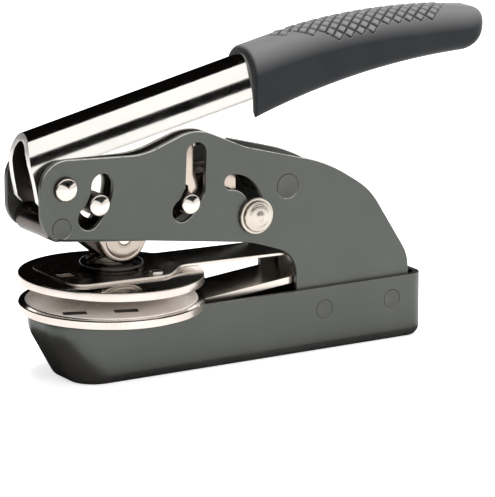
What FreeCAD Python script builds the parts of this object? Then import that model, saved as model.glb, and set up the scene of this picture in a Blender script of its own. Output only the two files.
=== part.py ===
import FreeCAD, Part
import math
import os

from FreeCAD import Vector

# Hand-held seal embosser, in millimetres.
# The origin is where the axis of the dies meets the surface that the embosser stands on.
# +X points along the machine to the end of the handle, +Z is up, and the left side is -Y.
# A side view's positions are (x, z) pairs.

# ---- Frame: base tray, side plates and the spacers between them ----
FRAME_WIDTH = 20.6          # over the two side plates
PLATE_T = 1.6
TRAY_T = 1.6
TRAY_TOP = 18.1
# (x, z) down the middle of the tray's front wall, from its top edge over a bend to its foot
TRAY_FRONT = [(-22.2, TRAY_TOP), (-22.9, 14.4), (-14.8, 0.0)]
TRAY_BEND_R = 9.0
TRAY_NOSE_R = 8.5           # the wall's rounded corners, in plan
TRAY_REAR = 93.0
TRAY_CORNER_R = 4.6
TRAY_FOOT_R = 3.0
PLATE_IN = FRAME_WIDTH / 2 - PLATE_T
PLATE_OUT = FRAME_WIDTH / 2
TRAY_OUT = PLATE_OUT + TRAY_T
PLATE_REAR = TRAY_REAR - TRAY_CORNER_R - 0.1    # clear of the tray's rounded corners
PLATE_FOOT = TRAY_FOOT_R + 0.1

FRONT_SPACER = (-20.4, 44.0)
REAR_SPACER = (49.1, 47.4)
FRONT_SPACER_R = 3.8
REAR_SPACER_R = 3.9
BASE_SPACER_R = 4.0
FRONT_TENON_R = 2.8
REAR_TENON_R = 3.4
BASE_TENON_R = 2.6

# (x, z, corner radius) round the part of a side plate that stands above the tray
PLATE_OUTLINE = [
    (52.0, 28.2, 8.0), (37.5, 33.2, 30.0), (6.0, 37.6, 60.0), (-26.5, 41.2, 8.0), (-26.5, 62.7, 7.5),
    (4.6, 61.0, 22.0), (20.6, 66.6, 13.0), (35.8, 59.7, 22.0), (62.0, 52.4, 45.0), (75.6, 43.6, 22.0),
]
PLATE_HEEL = (52.0, 23.4)   # front x of the heel, and height of its rear corner
BASE_SPACERS = [(PLATE_HEEL[0] + 8.0, 12.0), (TRAY_REAR - 11.0, 12.0)]

# ---- Lever train ----
PIVOT = (-19.3, 54.6)       # the handle's fixed pin
LINK_PIN_ORBIT = 11.2       # from the pivot to the pin that carries the presser link
LINK_PIN_ANGLE = -28.2      # where that pin stands at rest, in degrees about the pivot
FULCRUM = (18.3, 46.3)      # the link's rear pin, in the bent slot
PRESS_ANGLE = 13.8          # the handle's stroke below its rest, to the rear spacer
LIFT_ANGLE = 14.0           # and above it
LINK_TURN = -0.11           # the link's own turn for each degree of the handle's
PIVOT_R = 3.2
LINK_PIN_R = 3.0
FULCRUM_R = 2.8
PIN_DOME = 1.5
PIN_PROUD = 0.7             # straight stretch of a pin outside its plate
SLOT_GAP = 0.25             # round a pin that slides in a slot
TURN_GAP = 0.05             # round a pin that turns in a hole

LINK_SLOT_ENDS = (-50.7, -2.0)      # angles of the front slot's end centres about the pivot
FULCRUM_SLOT_CORNER = (20.2, 49.6)
FULCRUM_SLOT_TOP = (20.6, 59.6)

# ---- Handle ----
HANDLE_OUT = 6.9            # half the width over the channel
HANDLE_T = 2.0
ARCH_RISE = 14.0            # height of the half ellipse that the channel has across the handle
HANDLE_FRONT = -26.2
# (x, z) up the front edges of the channel's walls
MOUTH = [(-23.8, 49.0), (-25.3, 50.7), (-27.2, 60.8), (-27.2, 63.6)]
RIDGE_START_Z = 68.6        # top of the channel at its front end
RIDGE_SLOPE = 12.4          # degrees
BEND_X = 48.0               # where the straight channel ends and the long bend starts
BEND_R = 192.0
CHANNEL_END_X = 105.5
GRIP_FRONT = 40.5
GRIP_OUT = 8.1
GRIP_OVER = 1.7             # rubber over the top of the channel
GRIP_END = 116.0
GRIP_FOOT_START = 66.1      # height of the grip's underside at its front
GRIP_FOOT_SLOPE = 19.0
GRIP_FOOT_R = 225.0
# (reach along x, depth) of the elliptical corners at the grip's end
GRIP_FOOT_CORNER = (8.6, 8.0)
GRIP_CROWN_CORNER = (2.8, 2.4)
GRIP_SIDE_CORNER = (5.2, 4.6)
LINK_PIN_BOSS_R = 4.3       # round the link pin, on the channel's walls
# (x, z) along the open lower edge of the channel, from the grip's front end to the handle's front
CHANNEL_EDGE = [
    (30.5, 61.4), (12.0, 60.4), (-1.5, 54.8), (-4.9, 50.4), (-8.0, 49.0), (-14.2, 49.4), (-19.3, 48.5),
]

# ---- Presser link and rollers ----
LINK_IN = 3.2
LINK_T = 1.2
LINK_BOSS_R = 4.2
AXLE = (0.5, 38.6)
AXLE_R = 2.2
AXLE_BOSS_R = 5.2
ROLLER_R = 7.1
ROLLER_IN = LINK_IN + LINK_T + 0.1
ROLLER_OUT = 6.6
SLEEVE_R = 4.0
TAIL_END = 31.6
TAIL_Z = (46.6, 52.4)
NOSE = [(-11.4, 38.9), (-4.8, 33.6)]    # lower front corners of the link's cheeks

# ---- Die clip ----
DISC_R = 25.0
DISC_T = 2.4
LOWER_DISC_TOP = 20.5
UPPER_DISC_TOP = 27.9
DISC_RIM = 1.6
CLIP_TILT = 1.2             # the upper half's lean at rest, front end up, in degrees
COUNTER_DIE_R = DISC_R - 1.8
COUNTER_DIE_PROUD = 0.4
WEB_Z = (18.7, 19.5)        # thin floor of the lower disc
MALE_DIE_R = DISC_R - 4.4
MALE_DIE_T = 1.0
EMBOSS_R = MALE_DIE_R - 4.6      # the raised middle of the male die
EMBOSS_T = 2.3              # from the upper disc to the middle's face
ARM_T = 0.9
UPPER_PLATE = (-18.5, 9.7, 13.5)    # front, rear and half width of the plate on the disc
ARM_HALF = 7.6
ARM_STEP = 0.7
LOWER_ARM_HALF = 8.2
LOWER_ARM_T = 1.9
LOWER_ARM_RISE = 5.5        # degrees
LOWER_ARM_BEND_X = 22.0
LOWER_ARM_FRONT = TRAY_FRONT[0][0] + TRAY_T + 0.8
CLIP_END = 68.0
CLIP_BLOCK_X = (57.0, 67.0)
CLIP_RIVET_X = (59.6, 64.4)
CLIP_RIVET_R = 1.6
CLIP_RIVET_HEAD = (2.8, 0.8)    # radius and height
DISC_RIVET = (7.9, 9.9)     # x and half the distance between the two
DISC_RIVET_R = 1.4
DISC_RIVET_DEPTH = 0.9
DISC_RIVET_HEAD = (2.1, 0.8)
BUTTON_R = 8.6
BUTTON_H = 2.4
WINDOWS = [(-0.672 * DISC_R, -0.408 * DISC_R), (-0.16 * DISC_R, -0.6 * DISC_R)]
WINDOW_SIZE = (6.4, 3.2)
WINDOW_TURN = -22.0

# ---- Storage lock, on the left side ----
LOCK_PIVOT = (31.25, 42.75)
LOCK_R = 7.75
LOCK_START = -16.0          # the knob's angle about the lock's pivot at rest
LOCK_SWEEP = 105.0
LOCK_STUD_R = 1.9
KNOB_FLANGE_R = 5.1
KNOB_HEAD_R = 4.3
KNOB_NECK_R = 3.6
KNOB_STEPS = (0.3, 1.2, 1.8, 3.2)   # from the plate: flange, its face, head, its face
LOCK_LEVER_Y = (0.3 - PLATE_IN, 1.3 - PLATE_IN)
LOCK_PIVOT_R = 2.0
LOCK_PIVOT_HEAD_R = 2.8
LOCK_LEVER_R = (3.6, 3.4)   # round the pivot and round the stud

BIG = 200.0


def pt(x, z, y=0.0):
    return Vector(x, y, z)


def turned(point, centre, degrees):
    """The (x, z) point turned about the (x, z) centre, +X towards +Z."""
    a = math.radians(degrees)
    dx, dz = point[0] - centre[0], point[1] - centre[1]
    return (centre[0] + dx * math.cos(a) - dz * math.sin(a),
            centre[1] + dx * math.sin(a) + dz * math.cos(a))


def on_circle(centre, radius, degrees):
    return turned((centre[0] + radius, centre[1]), centre, degrees)


def rounded(corners, place):
    """A closed wire through (u, v, radius) corners, each rounded to its radius."""
    edges, last = [], None
    ends = []
    count = len(corners)
    for i, (u, v, r) in enumerate(corners):
        here = Vector(u, v, 0)
        before = Vector(*corners[i - 1][:2], 0) - here
        after = Vector(*corners[(i + 1) % count][:2], 0) - here
        before.normalize()
        after.normalize()
        half = math.acos(max(-1.0, min(1.0, before.dot(after)))) / 2
        if r <= 0 or half > math.pi / 2 - 1e-3:
            ends.append((here, None, here))
            continue
        reach = r / math.tan(half)
        middle = before + after
        middle.normalize()
        to_arc = r / math.sin(half) - r
        ends.append((here + before * reach, here + middle * to_arc, here + after * reach))
    for start, mid, end in ends:
        if last is not None and (start - last).Length > 1e-6:
            edges.append(Part.makeLine(place(last), place(start)))
        if mid is not None:
            edges.append(Part.Arc(place(start), place(mid), place(end)).toShape())
        last = end
    if (ends[0][0] - last).Length > 1e-6:
        edges.append(Part.makeLine(place(last), place(ends[0][0])))
    return Part.Wire(edges)


def slab(wire, y0, y1):
    """A wire in the XZ plane at y = 0, made solid from y0 to y1."""
    solid = Part.Face(wire).extrude(Vector(0, y1 - y0, 0))
    solid.translate(Vector(0, y0, 0))
    return solid


def side_slab(corners, y0, y1):
    return slab(rounded(corners, lambda p: pt(p.x, p.y)), y0, y1)


def level_slab(corners, z0, z1):
    """(x, y, radius) corners made solid from z0 to z1."""
    solid = Part.Face(rounded(corners, lambda p: Vector(p.x, p.y, 0))).extrude(Vector(0, 0, z1 - z0))
    solid.translate(Vector(0, 0, z0))
    return solid


def rod(centre, radius, y0, y1):
    return Part.makeCylinder(radius, y1 - y0, pt(centre[0], centre[1], y0), Vector(0, 1, 0))


def drum(radius, z0, z1, x=0.0, y=0.0):
    return Part.makeCylinder(radius, z1 - z0, Vector(x, y, z0))


def mirrored(shape):
    return shape.mirror(Vector(0, 0, 0), Vector(0, 1, 0))


def capsule(a, ra, b, rb, y0, y1):
    """Two round bosses and the tangent web between them."""
    ax, az = a
    length = math.hypot(b[0] - ax, b[1] - az)
    way = math.atan2(b[1] - az, b[0] - ax)
    lean = math.acos((ra - rb) / length)
    web = []
    for centre, r, sign in ((a, ra, 1), (a, ra, -1), (b, rb, -1), (b, rb, 1)):
        angle = way + sign * lean
        web.append((centre[0] + r * math.cos(angle), centre[1] + r * math.sin(angle), 0))
    body = side_slab(web, y0, y1)
    return body.fuse([rod(a, ra, y0, y1), rod(b, rb, y0, y1)]).removeSplitter()


def domed_pin(centre, radius):
    """A straight pin right through the frame, with a low dome at each end."""
    half = PLATE_OUT + PIN_PROUD
    ball = (radius ** 2 + PIN_DOME ** 2) / (2 * PIN_DOME)
    section = Part.Wire([
        Part.makeLine(Vector(0, -half - PIN_DOME, 0), Vector(0, half + PIN_DOME, 0)),
        dome_arc(radius, ball, half, 1),
        Part.makeLine(Vector(radius, half, 0), Vector(radius, -half, 0)),
        dome_arc(radius, ball, half, -1),
    ])
    pin = Part.Face(section).revolve(Vector(0, 0, 0), Vector(0, 1, 0), 360)
    pin.translate(pt(*centre))
    return pin


def dome_arc(radius, ball, half, side):
    centre_y = half + PIN_DOME - ball
    mid_x = radius / 2
    mid_y = centre_y + math.sqrt(ball ** 2 - mid_x ** 2)
    return Part.Arc(Vector(radius, side * half, 0), Vector(mid_x, side * mid_y, 0),
                    Vector(0, side * (half + PIN_DOME), 0)).toShape()


def chamfered(solid, size, edge_test):
    edges = [e for e in solid.Edges if edge_test(e)]
    return solid.makeChamfer(size, edges)


def filleted(solid, size, edge_test):
    edges = [e for e in solid.Edges if edge_test(e)]
    return solid.makeFillet(size, edges)


def full_circle(edge):
    return isinstance(edge.Curve, Part.Circle) and len(edge.Vertexes) == 1


# ---- Positions worked out from the lever train ----
LINK_PIN = on_circle(PIVOT, LINK_PIN_ORBIT, LINK_PIN_ANGLE)
LOCK_STUD = on_circle(LOCK_PIVOT, LOCK_R, LOCK_START)


def link_point(point, handle_turn):
    """Where a point of the presser link goes when the handle turns (degrees, + lifts)."""
    moved_pin = turned(LINK_PIN, PIVOT, handle_turn)
    spun = turned(point, LINK_PIN, LINK_TURN * handle_turn)
    return (spun[0] + moved_pin[0] - LINK_PIN[0], spun[1] + moved_pin[1] - LINK_PIN[1])


def slot(edges, half_width):
    """A slot of even width along a line of edges in the XZ plane."""
    path = Part.Wire(edges)
    return slab(path.makeOffset2D(half_width, 0, False, False, False), -BIG, BIG)


def slot_arc(centre, radius, start, end):
    points = [on_circle(centre, radius, a) for a in (start, (start + end) / 2, end)]
    return Part.Arc(*[pt(*p) for p in points]).toShape()


def plate_slots(with_lock):
    link_slot = slot([slot_arc(PIVOT, LINK_PIN_ORBIT, *LINK_SLOT_ENDS)], LINK_PIN_R + SLOT_GAP)
    # The lower leg of the bent slot is the path of the fulcrum pin itself, and a little over.
    low, mid, high = [link_point(FULCRUM, a) for a in (-PRESS_ANGLE - 5, -1, LIFT_ANGLE)]
    fulcrum_slot = slot([
        Part.Arc(pt(*low), pt(*mid), pt(*high)).toShape(),
        Part.makeLine(pt(*high), pt(*FULCRUM_SLOT_CORNER)),
        Part.makeLine(pt(*FULCRUM_SLOT_CORNER), pt(*FULCRUM_SLOT_TOP)),
    ], FULCRUM_R + SLOT_GAP)
    cuts = [link_slot, fulcrum_slot]
    if with_lock:
        cuts.append(slot([slot_arc(LOCK_PIVOT, LOCK_R, LOCK_START, LOCK_START + LOCK_SWEEP)],
                         LOCK_STUD_R + SLOT_GAP))
    return cuts


def side_plate(with_lock):
    """The left plate: an upper limb with the slots, and a heel that stands in the tray."""
    plate = side_slab(PLATE_OUTLINE + [
        (PLATE_REAR, PLATE_HEEL[1], 12.0), (PLATE_REAR, PLATE_FOOT, 5.0), (PLATE_HEEL[0], PLATE_FOOT, 3.0),
    ], -PLATE_OUT, -PLATE_IN)
    holes = [rod(FRONT_SPACER, FRONT_TENON_R, -BIG, BIG), rod(REAR_SPACER, REAR_TENON_R, -BIG, BIG),
             rod(PIVOT, PIVOT_R, -BIG, BIG)]
    holes += [rod(c, BASE_TENON_R, -BIG, BIG) for c in BASE_SPACERS]
    return plate.cut(holes + plate_slots(with_lock))


def front_line(inset, top):
    """The three corners of the tray's front wall in side view, moved in by inset and up to top."""
    slopes = [(b[0] - a[0]) / (b[1] - a[1]) for a, b in zip(TRAY_FRONT[:-1], TRAY_FRONT[1:])]
    starts = [p[0] - p[1] * s + inset * math.hypot(1, s) for p, s in zip(TRAY_FRONT, slopes)]
    bend_z = (starts[1] - starts[0]) / (slopes[0] - slopes[1])
    return [(starts[0] + slopes[0] * top, top), (starts[1] + slopes[1] * bend_z, bend_z),
            (starts[1] + slopes[1] * inset, inset)]


def upright(edge):
    """True for an edge of a side outline that runs up an end of the tray, inside one side's plane."""
    return edge.BoundBox.YLength < 1e-6 and edge.BoundBox.ZLength > 0.3 * edge.BoundBox.XLength


def base_tray():
    """An open folded tray with a bowed front wall and rounded corners."""
    def shell(inset, top):
        head, bend, foot = front_line(inset, top)
        side = side_slab([(*foot, 0), (TRAY_REAR - inset, inset, 0), (TRAY_REAR - inset, top, 0),
                          (*head, 0), (*bend, TRAY_BEND_R - inset)], -TRAY_OUT + inset, TRAY_OUT - inset)
        nose = filleted(side, TRAY_NOSE_R - inset, lambda e: upright(e) and e.BoundBox.XMax < 0)
        tail = filleted(nose, TRAY_CORNER_R - inset, lambda e: upright(e) and e.BoundBox.XMin > TRAY_REAR / 2)
        return filleted(tail, TRAY_FOOT_R - inset, lambda e: e.BoundBox.ZMax < inset + 0.01)

    tray = shell(0, TRAY_TOP).cut(shell(TRAY_T, TRAY_TOP + TRAY_T))
    return tray.cut([rod(c, BASE_TENON_R, -BIG, BIG) for c in BASE_SPACERS])


def spacer(centre, radius, tenon, reach):
    """A round bar between the plates, with tenons riveted flush outside them."""
    body = rod(centre, radius, -PLATE_IN, PLATE_IN)
    return body.fuse(rod(centre, tenon, -reach, reach)).removeSplitter()


def ridge_edges(x0, x1, over, drop):
    """The channel's top line from x0 to x1: straight, then the long bend, moved up by over."""
    slope = math.radians(RIDGE_SLOPE)
    bend = (BEND_X, RIDGE_START_Z + (BEND_X - HANDLE_FRONT) * math.tan(slope))
    centre = (bend[0] + BEND_R * math.sin(slope), bend[1] - BEND_R * math.cos(slope))
    radius = BEND_R + over - drop

    def on_bend(x):
        return (x, centre[1] + math.sqrt(radius ** 2 - (x - centre[0]) ** 2))

    turn_x = centre[0] - radius * math.sin(slope)
    edges = []
    start = max(x0, turn_x)
    if x0 < turn_x:
        begin = (x0, on_bend(turn_x)[1] - (turn_x - x0) * math.tan(slope))
        edges.append(Part.makeLine(pt(*begin), pt(*on_bend(turn_x))))
    else:
        begin = on_bend(x0)
    edges.append(Part.Arc(pt(*on_bend(start)), pt(*on_bend((start + x1) / 2)), pt(*on_bend(x1))).toShape())
    return edges, begin, on_bend(x1)


def grip_foot(x):
    """Height of the grip's underside at x."""
    slope = math.radians(GRIP_FOOT_SLOPE)
    centre = (GRIP_FRONT + GRIP_FOOT_R * math.sin(slope), GRIP_FOOT_START - GRIP_FOOT_R * math.cos(slope))
    return centre[1] + math.sqrt(GRIP_FOOT_R ** 2 - (x - centre[0]) ** 2)


def channel_side(inset):
    """Side outline of the channel, open to the top; inset moves the closed end in and the edges down."""
    end = CHANNEL_END_X - inset
    below = -2 * inset
    middle = (GRIP_FRONT + end) / 2
    hidden = [(end, BIG), (end, grip_foot(end) + 1.6 - inset), (middle, grip_foot(middle) + 1.2 + below),
              (GRIP_FRONT, GRIP_FOOT_START + 0.6 + below)]
    edge = [(x, z + below) for x, z in CHANNEL_EDGE]
    mouth = [(x + below, z + below) for x, z in MOUTH]
    front = (HANDLE_FRONT + below, RIDGE_START_Z)
    return hidden + edge + mouth + [front, (front[0] + 2.0, BIG)]


def ridge_height(x, drop):
    """Height of the channel's top line at x, moved down by drop."""
    return ridge_edges(x, GRIP_END + 1, 0, drop)[1][1]


def arch_section(x, inset):
    """The channel's section at x: a half ellipse on two straight walls."""
    half, top = HANDLE_OUT - inset, ridge_height(x, inset)
    spring = top - ARCH_RISE + inset
    crown = Part.Ellipse(Vector(x, 0, top), Vector(x, half, spring), Vector(x, 0, spring))
    walls = Part.makePolygon([Vector(x, half, spring), Vector(x, half, 0), Vector(x, -half, 0),
                              Vector(x, -half, spring)])
    return Part.Wire([crown.toShape(-math.pi / 2, math.pi / 2)] + walls.Edges)


def arched(inset):
    """The channel's side outline made solid, under the arch."""
    bend = [BEND_X + (GRIP_END - BEND_X) * i / 9 for i in range(10)]
    arch = Part.makeLoft([arch_section(x, inset) for x in [HANDLE_FRONT - 4 * HANDLE_T] + bend], True, True)
    side = side_slab([(x, z, 0) for x, z in channel_side(inset)], -GRIP_OUT, GRIP_OUT)
    return arch.common(side)


def handle_channel():
    boss = rod(LINK_PIN, LINK_PIN_BOSS_R, -HANDLE_OUT, HANDLE_OUT)
    room = HANDLE_OUT - HANDLE_T
    inner = arched(HANDLE_T).fuse(rod(LINK_PIN, 2 * LINK_PIN_BOSS_R, -room, room))
    holes = [rod(PIVOT, PIVOT_R + TURN_GAP, -BIG, BIG), rod(LINK_PIN, LINK_PIN_R, -BIG, BIG)]
    return arched(0).fuse(boss).cut([inner] + holes).removeSplitter()


def grip_crown(x):
    """Height of the grip's top at x."""
    return ridge_edges(x, GRIP_END + 1, GRIP_OVER, 0)[1][1]


def closed_in(x, corner):
    """How far an elliptical corner at the grip's end has come in at x."""
    reach, depth = corner
    past = min(max(0.0, 1 - (GRIP_END - x) / reach), 0.995)
    return depth * (1 - math.sqrt(1 - past ** 2))


def grip_section(x):
    """The grip's outline across the handle at x: an arched top over a rounded flat foot."""
    low = grip_foot(x) + closed_in(x, GRIP_FOOT_CORNER)
    high = grip_crown(x) - closed_in(x, GRIP_CROWN_CORNER)
    half = GRIP_OUT - closed_in(x, GRIP_SIDE_CORNER)
    crown_r, foot_r = min(half, (high - low) * 0.6) * 0.93, min(half, high - low) * 0.3
    return rounded([(-half, low, foot_r), (half, low, foot_r), (half, high, crown_r), (-half, high, crown_r)],
                   lambda p: Vector(x, p.x, p.y))


def handle_grip(channel):
    """The rubber grip, lofted through sections along the channel and filled round it."""
    reach = GRIP_FOOT_CORNER[0]
    straight = GRIP_END - reach - GRIP_FRONT
    along = [GRIP_FRONT + straight * i / 10 for i in range(10)]
    closing = [GRIP_END - reach * f for f in (1.0, 0.75, 0.52, 0.35, 0.22, 0.12, 0.05, 0.0)]
    grip = Part.makeLoft([grip_section(x) for x in along + closing], True, True)
    return grip.cut(channel)


def link_cheek():
    """The left cheek of the presser link, with its tail."""
    y0, y1 = -LINK_IN - LINK_T, -LINK_IN
    cheek = capsule(LINK_PIN, LINK_BOSS_R, AXLE, AXLE_BOSS_R, y0, y1)
    middle = side_slab([(*LINK_PIN, 0), (*AXLE, 0), (*FULCRUM, 0)], y0, y1)
    tail = side_slab([(FULCRUM[0], TAIL_Z[0] - 1.5, 0), (TAIL_END, TAIL_Z[0], 1.5),
                      (TAIL_END - 0.8, TAIL_Z[1], 1.5), (LINK_PIN[0], LINK_PIN[1] + LINK_BOSS_R, 0)], y0, y1)
    nose = side_slab([(LINK_PIN[0] - LINK_BOSS_R, LINK_PIN[1], 0), (*NOSE[0], 1.0), (*NOSE[1], 1.0),
                      (*AXLE, 0)], y0, y1)
    cheek = cheek.fuse([capsule(AXLE, AXLE_BOSS_R, FULCRUM, LINK_BOSS_R, y0, y1), middle, tail, nose])
    holes = [rod(LINK_PIN, LINK_PIN_R + TURN_GAP, -BIG, BIG), rod(FULCRUM, FULCRUM_R, -BIG, BIG),
             rod(AXLE, AXLE_R + TURN_GAP, -BIG, BIG)]
    return cheek.cut(holes).removeSplitter()


def roller():
    """A thick disc with a raised face and a rounded-off rim; the left one."""
    disc = rod(AXLE, ROLLER_R, -ROLLER_OUT + 0.35, -ROLLER_IN)
    disc = chamfered(disc, 0.35, full_circle)
    face = rod(AXLE, ROLLER_R - 1.1, -ROLLER_OUT, -ROLLER_OUT + 0.4)
    return disc.fuse(face).removeSplitter().cut(rod(AXLE, AXLE_R, -BIG, BIG))


def tilted(shape):
    """The upper half of the clip leans about the die axis, front end up."""
    shape = shape.copy()
    shape.rotate(Vector(0, 0, UPPER_DISC_TOP), Vector(0, 1, 0), CLIP_TILT)
    return shape


def windows(z0, z1):
    length, width = WINDOW_SIZE
    cuts = []
    for x, y in WINDOWS:
        box = level_slab([(-length / 2, -width / 2, 0.5), (length / 2, -width / 2, 0.5),
                          (length / 2, width / 2, 0.5), (-length / 2, width / 2, 0.5)], z0, z1)
        box.rotate(Vector(0, 0, 0), Vector(0, 0, 1), WINDOW_TURN)
        box.translate(Vector(x, y, 0))
        cuts.append(box)
    return cuts


def lower_disc():
    top, low = LOWER_DISC_TOP, LOWER_DISC_TOP - DISC_T
    disc = chamfered(drum(DISC_R, low, top), 0.25, full_circle)
    disc = disc.cut([drum(COUNTER_DIE_R, WEB_Z[1], top + 1), drum(DISC_R - DISC_RIM, low - 1, WEB_Z[0])])
    way_out = Part.makeBox(20, 2 * LOWER_ARM_HALF + 0.6, WEB_Z[0] + 0.7 - low + 1,
                           Vector(15, -LOWER_ARM_HALF - 0.3, low - 1))
    return disc.cut([way_out] + windows(0, 30))


def counter_die():
    die = drum(COUNTER_DIE_R, WEB_Z[1], LOWER_DISC_TOP + COUNTER_DIE_PROUD)
    die = chamfered(die, 0.25, lambda e: full_circle(e) and e.BoundBox.ZMin > LOWER_DISC_TOP)
    return die.cut(windows(0, 30))


def clip_holes():
    return [drum(CLIP_RIVET_R + TURN_GAP, 0, BIG, x) for x in CLIP_RIVET_X]


def lower_arm_top(x):
    return WEB_Z[0] + max(0, x - LOWER_ARM_BEND_X) * math.tan(math.radians(LOWER_ARM_RISE))


def lower_arm():
    """A strip under the lower disc that rises to the rear end of the clip."""
    top = [(LOWER_ARM_FRONT, WEB_Z[0], 0), (LOWER_ARM_BEND_X, WEB_Z[0], 8),
           (CLIP_END, lower_arm_top(CLIP_END), 0)]
    low = [(x, z - LOWER_ARM_T, r) for x, z, r in reversed(top)]
    strip = side_slab(top + low, -LOWER_ARM_HALF, LOWER_ARM_HALF)
    plan = level_slab([(LOWER_ARM_FRONT, -LOWER_ARM_HALF, 5), (CLIP_END, -LOWER_ARM_HALF, 3),
                       (CLIP_END, LOWER_ARM_HALF, 3), (LOWER_ARM_FRONT, LOWER_ARM_HALF, 5)], 0, BIG)
    return strip.common(plan).cut(clip_holes())


def upper_arm():
    """A thin plate on the upper disc that narrows and steps up into the clip's spring arm."""
    front, rear, half = UPPER_PLATE
    z = UPPER_DISC_TOP
    top = [(front, z + ARM_T, 0), (12.0, z + ARM_T, 4), (16.5, z + ARM_T + ARM_STEP, 4),
           (CLIP_END, z + ARM_T + ARM_STEP, 0)]
    low = [(x, h - ARM_T, r) for x, h, r in reversed(top)]
    strip = side_slab(top + low, -half, half)
    plan = level_slab([(front, -half + 3, 4), (front + 3, -half, 4), (rear, -half, 5), (17.5, -ARM_HALF, 6),
                       (CLIP_END, -ARM_HALF, 3), (CLIP_END, ARM_HALF, 3), (17.5, ARM_HALF, 6),
                       (rear, half, 5), (front + 3, half, 4), (front, half - 3, 4)], 0, 60)
    slotted = [Part.makeBox(4.4, 3.4, 60, Vector(-17.0, -3.4, 0))]
    return strip.common(plan).cut(slotted + clip_holes() + disc_rivet_bars(0, BIG))


def clip_rear_z(x):
    """Underside of the leaning upper arm at x."""
    lean = math.tan(math.radians(CLIP_TILT))
    return UPPER_DISC_TOP + ARM_STEP / math.cos(math.radians(CLIP_TILT)) - x * lean


def clip_block():
    """The wedge between the two arms at the clip's rear end."""
    x0, x1 = CLIP_BLOCK_X
    block = side_slab([(x0, lower_arm_top(x0), 0), (x1, lower_arm_top(x1), 0),
                       (x1, clip_rear_z(x1) - 0.05, 0), (x0, clip_rear_z(x0) - 0.05, 0)], -ARM_HALF, ARM_HALF)
    return block.cut(clip_holes())


def clip_rivet(x):
    low, high = lower_arm_top(x) - LOWER_ARM_T - 0.35, clip_rear_z(x) + ARM_T + 0.15
    shank = drum(CLIP_RIVET_R, low - 0.5, high + 0.5, x)
    head_r, head_h = CLIP_RIVET_HEAD
    heads = [drum(head_r, low - head_h, low, x), drum(head_r, high, high + head_h, x)]
    return shank.fuse(heads).removeSplitter()


def pressure_button():
    """Stepped turned button that the rollers press on."""
    z = UPPER_DISC_TOP + ARM_T
    drum_body = drum(BUTTON_R, z, z + BUTTON_H)
    flange = filleted(drum_body, 0.6, lambda e: full_circle(e) and e.BoundBox.ZMin > z + 1)
    groove = drum(BUTTON_R + 1, z + 0.85, z + 1.15).cut(drum(BUTTON_R - 0.5, z, z + 3))
    ring = drum(BUTTON_R - 1.9, z + BUTTON_H - 0.15, z + BUTTON_H + 1).cut(
        drum(BUTTON_R - 2.3, z, z + BUTTON_H + 2))
    return flange.cut([groove, ring])


def male_die():
    """Plain round die with a raised middle, under the upper disc."""
    z = UPPER_DISC_TOP - DISC_T
    die = drum(MALE_DIE_R, z - MALE_DIE_T, z).fuse(drum(EMBOSS_R, z - EMBOSS_T, z)).removeSplitter()
    return chamfered(die, 0.3, lambda e: full_circle(e) and e.BoundBox.ZMax < z - MALE_DIE_T + 0.1)


def disc_rivet_bars(z0, z1, radius=DISC_RIVET_R):
    x, y = DISC_RIVET
    return [drum(radius, z0, z1, x, side) for side in (-y, y)]


def disc_rivets():
    seat, low = UPPER_DISC_TOP + ARM_T, UPPER_DISC_TOP - DISC_RIVET_DEPTH
    head_r, head_h = DISC_RIVET_HEAD
    rivets = []
    for shank, head in zip(disc_rivet_bars(low, seat + 0.4), disc_rivet_bars(seat, seat + head_h, head_r)):
        rivets.append(filleted(shank.fuse(head).removeSplitter(), 0.4,
                               lambda e: full_circle(e) and e.BoundBox.ZMin > seat + head_h - 0.1))
    return Part.Compound(rivets)


def lock_knob():
    """Stepped turned knob with the stud that rides in the plate's curved slot."""
    flange_y, face_y, head_y, top_y = [-PLATE_OUT - step for step in KNOB_STEPS]
    stud = rod(LOCK_STUD, LOCK_STUD_R, flange_y - 0.1, LOCK_LEVER_Y[1])
    flange = filleted(rod(LOCK_STUD, KNOB_FLANGE_R, face_y, flange_y), 0.35, full_circle)
    neck = rod(LOCK_STUD, KNOB_NECK_R, head_y, face_y + 0.1)
    head = filleted(rod(LOCK_STUD, KNOB_HEAD_R, top_y, head_y + 0.1), 0.4, full_circle)
    return stud.fuse([flange, neck, head]).removeSplitter()


def lock_lever():
    y0, y1 = LOCK_LEVER_Y
    lever = capsule(LOCK_PIVOT, LOCK_LEVER_R[0], LOCK_STUD, LOCK_LEVER_R[1], y0, y1)
    return lever.cut([rod(LOCK_PIVOT, LOCK_PIVOT_R + TURN_GAP, -BIG, BIG),
                      rod(LOCK_STUD, LOCK_STUD_R, -BIG, BIG)])


def lock_pivot():
    stub = rod(LOCK_PIVOT, LOCK_PIVOT_R, -PLATE_IN, LOCK_LEVER_Y[1] + 0.1)
    head = rod(LOCK_PIVOT, LOCK_PIVOT_HEAD_R, LOCK_LEVER_Y[1] + 0.1, LOCK_LEVER_Y[1] + 0.4)
    return stub.fuse(head).removeSplitter()


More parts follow.
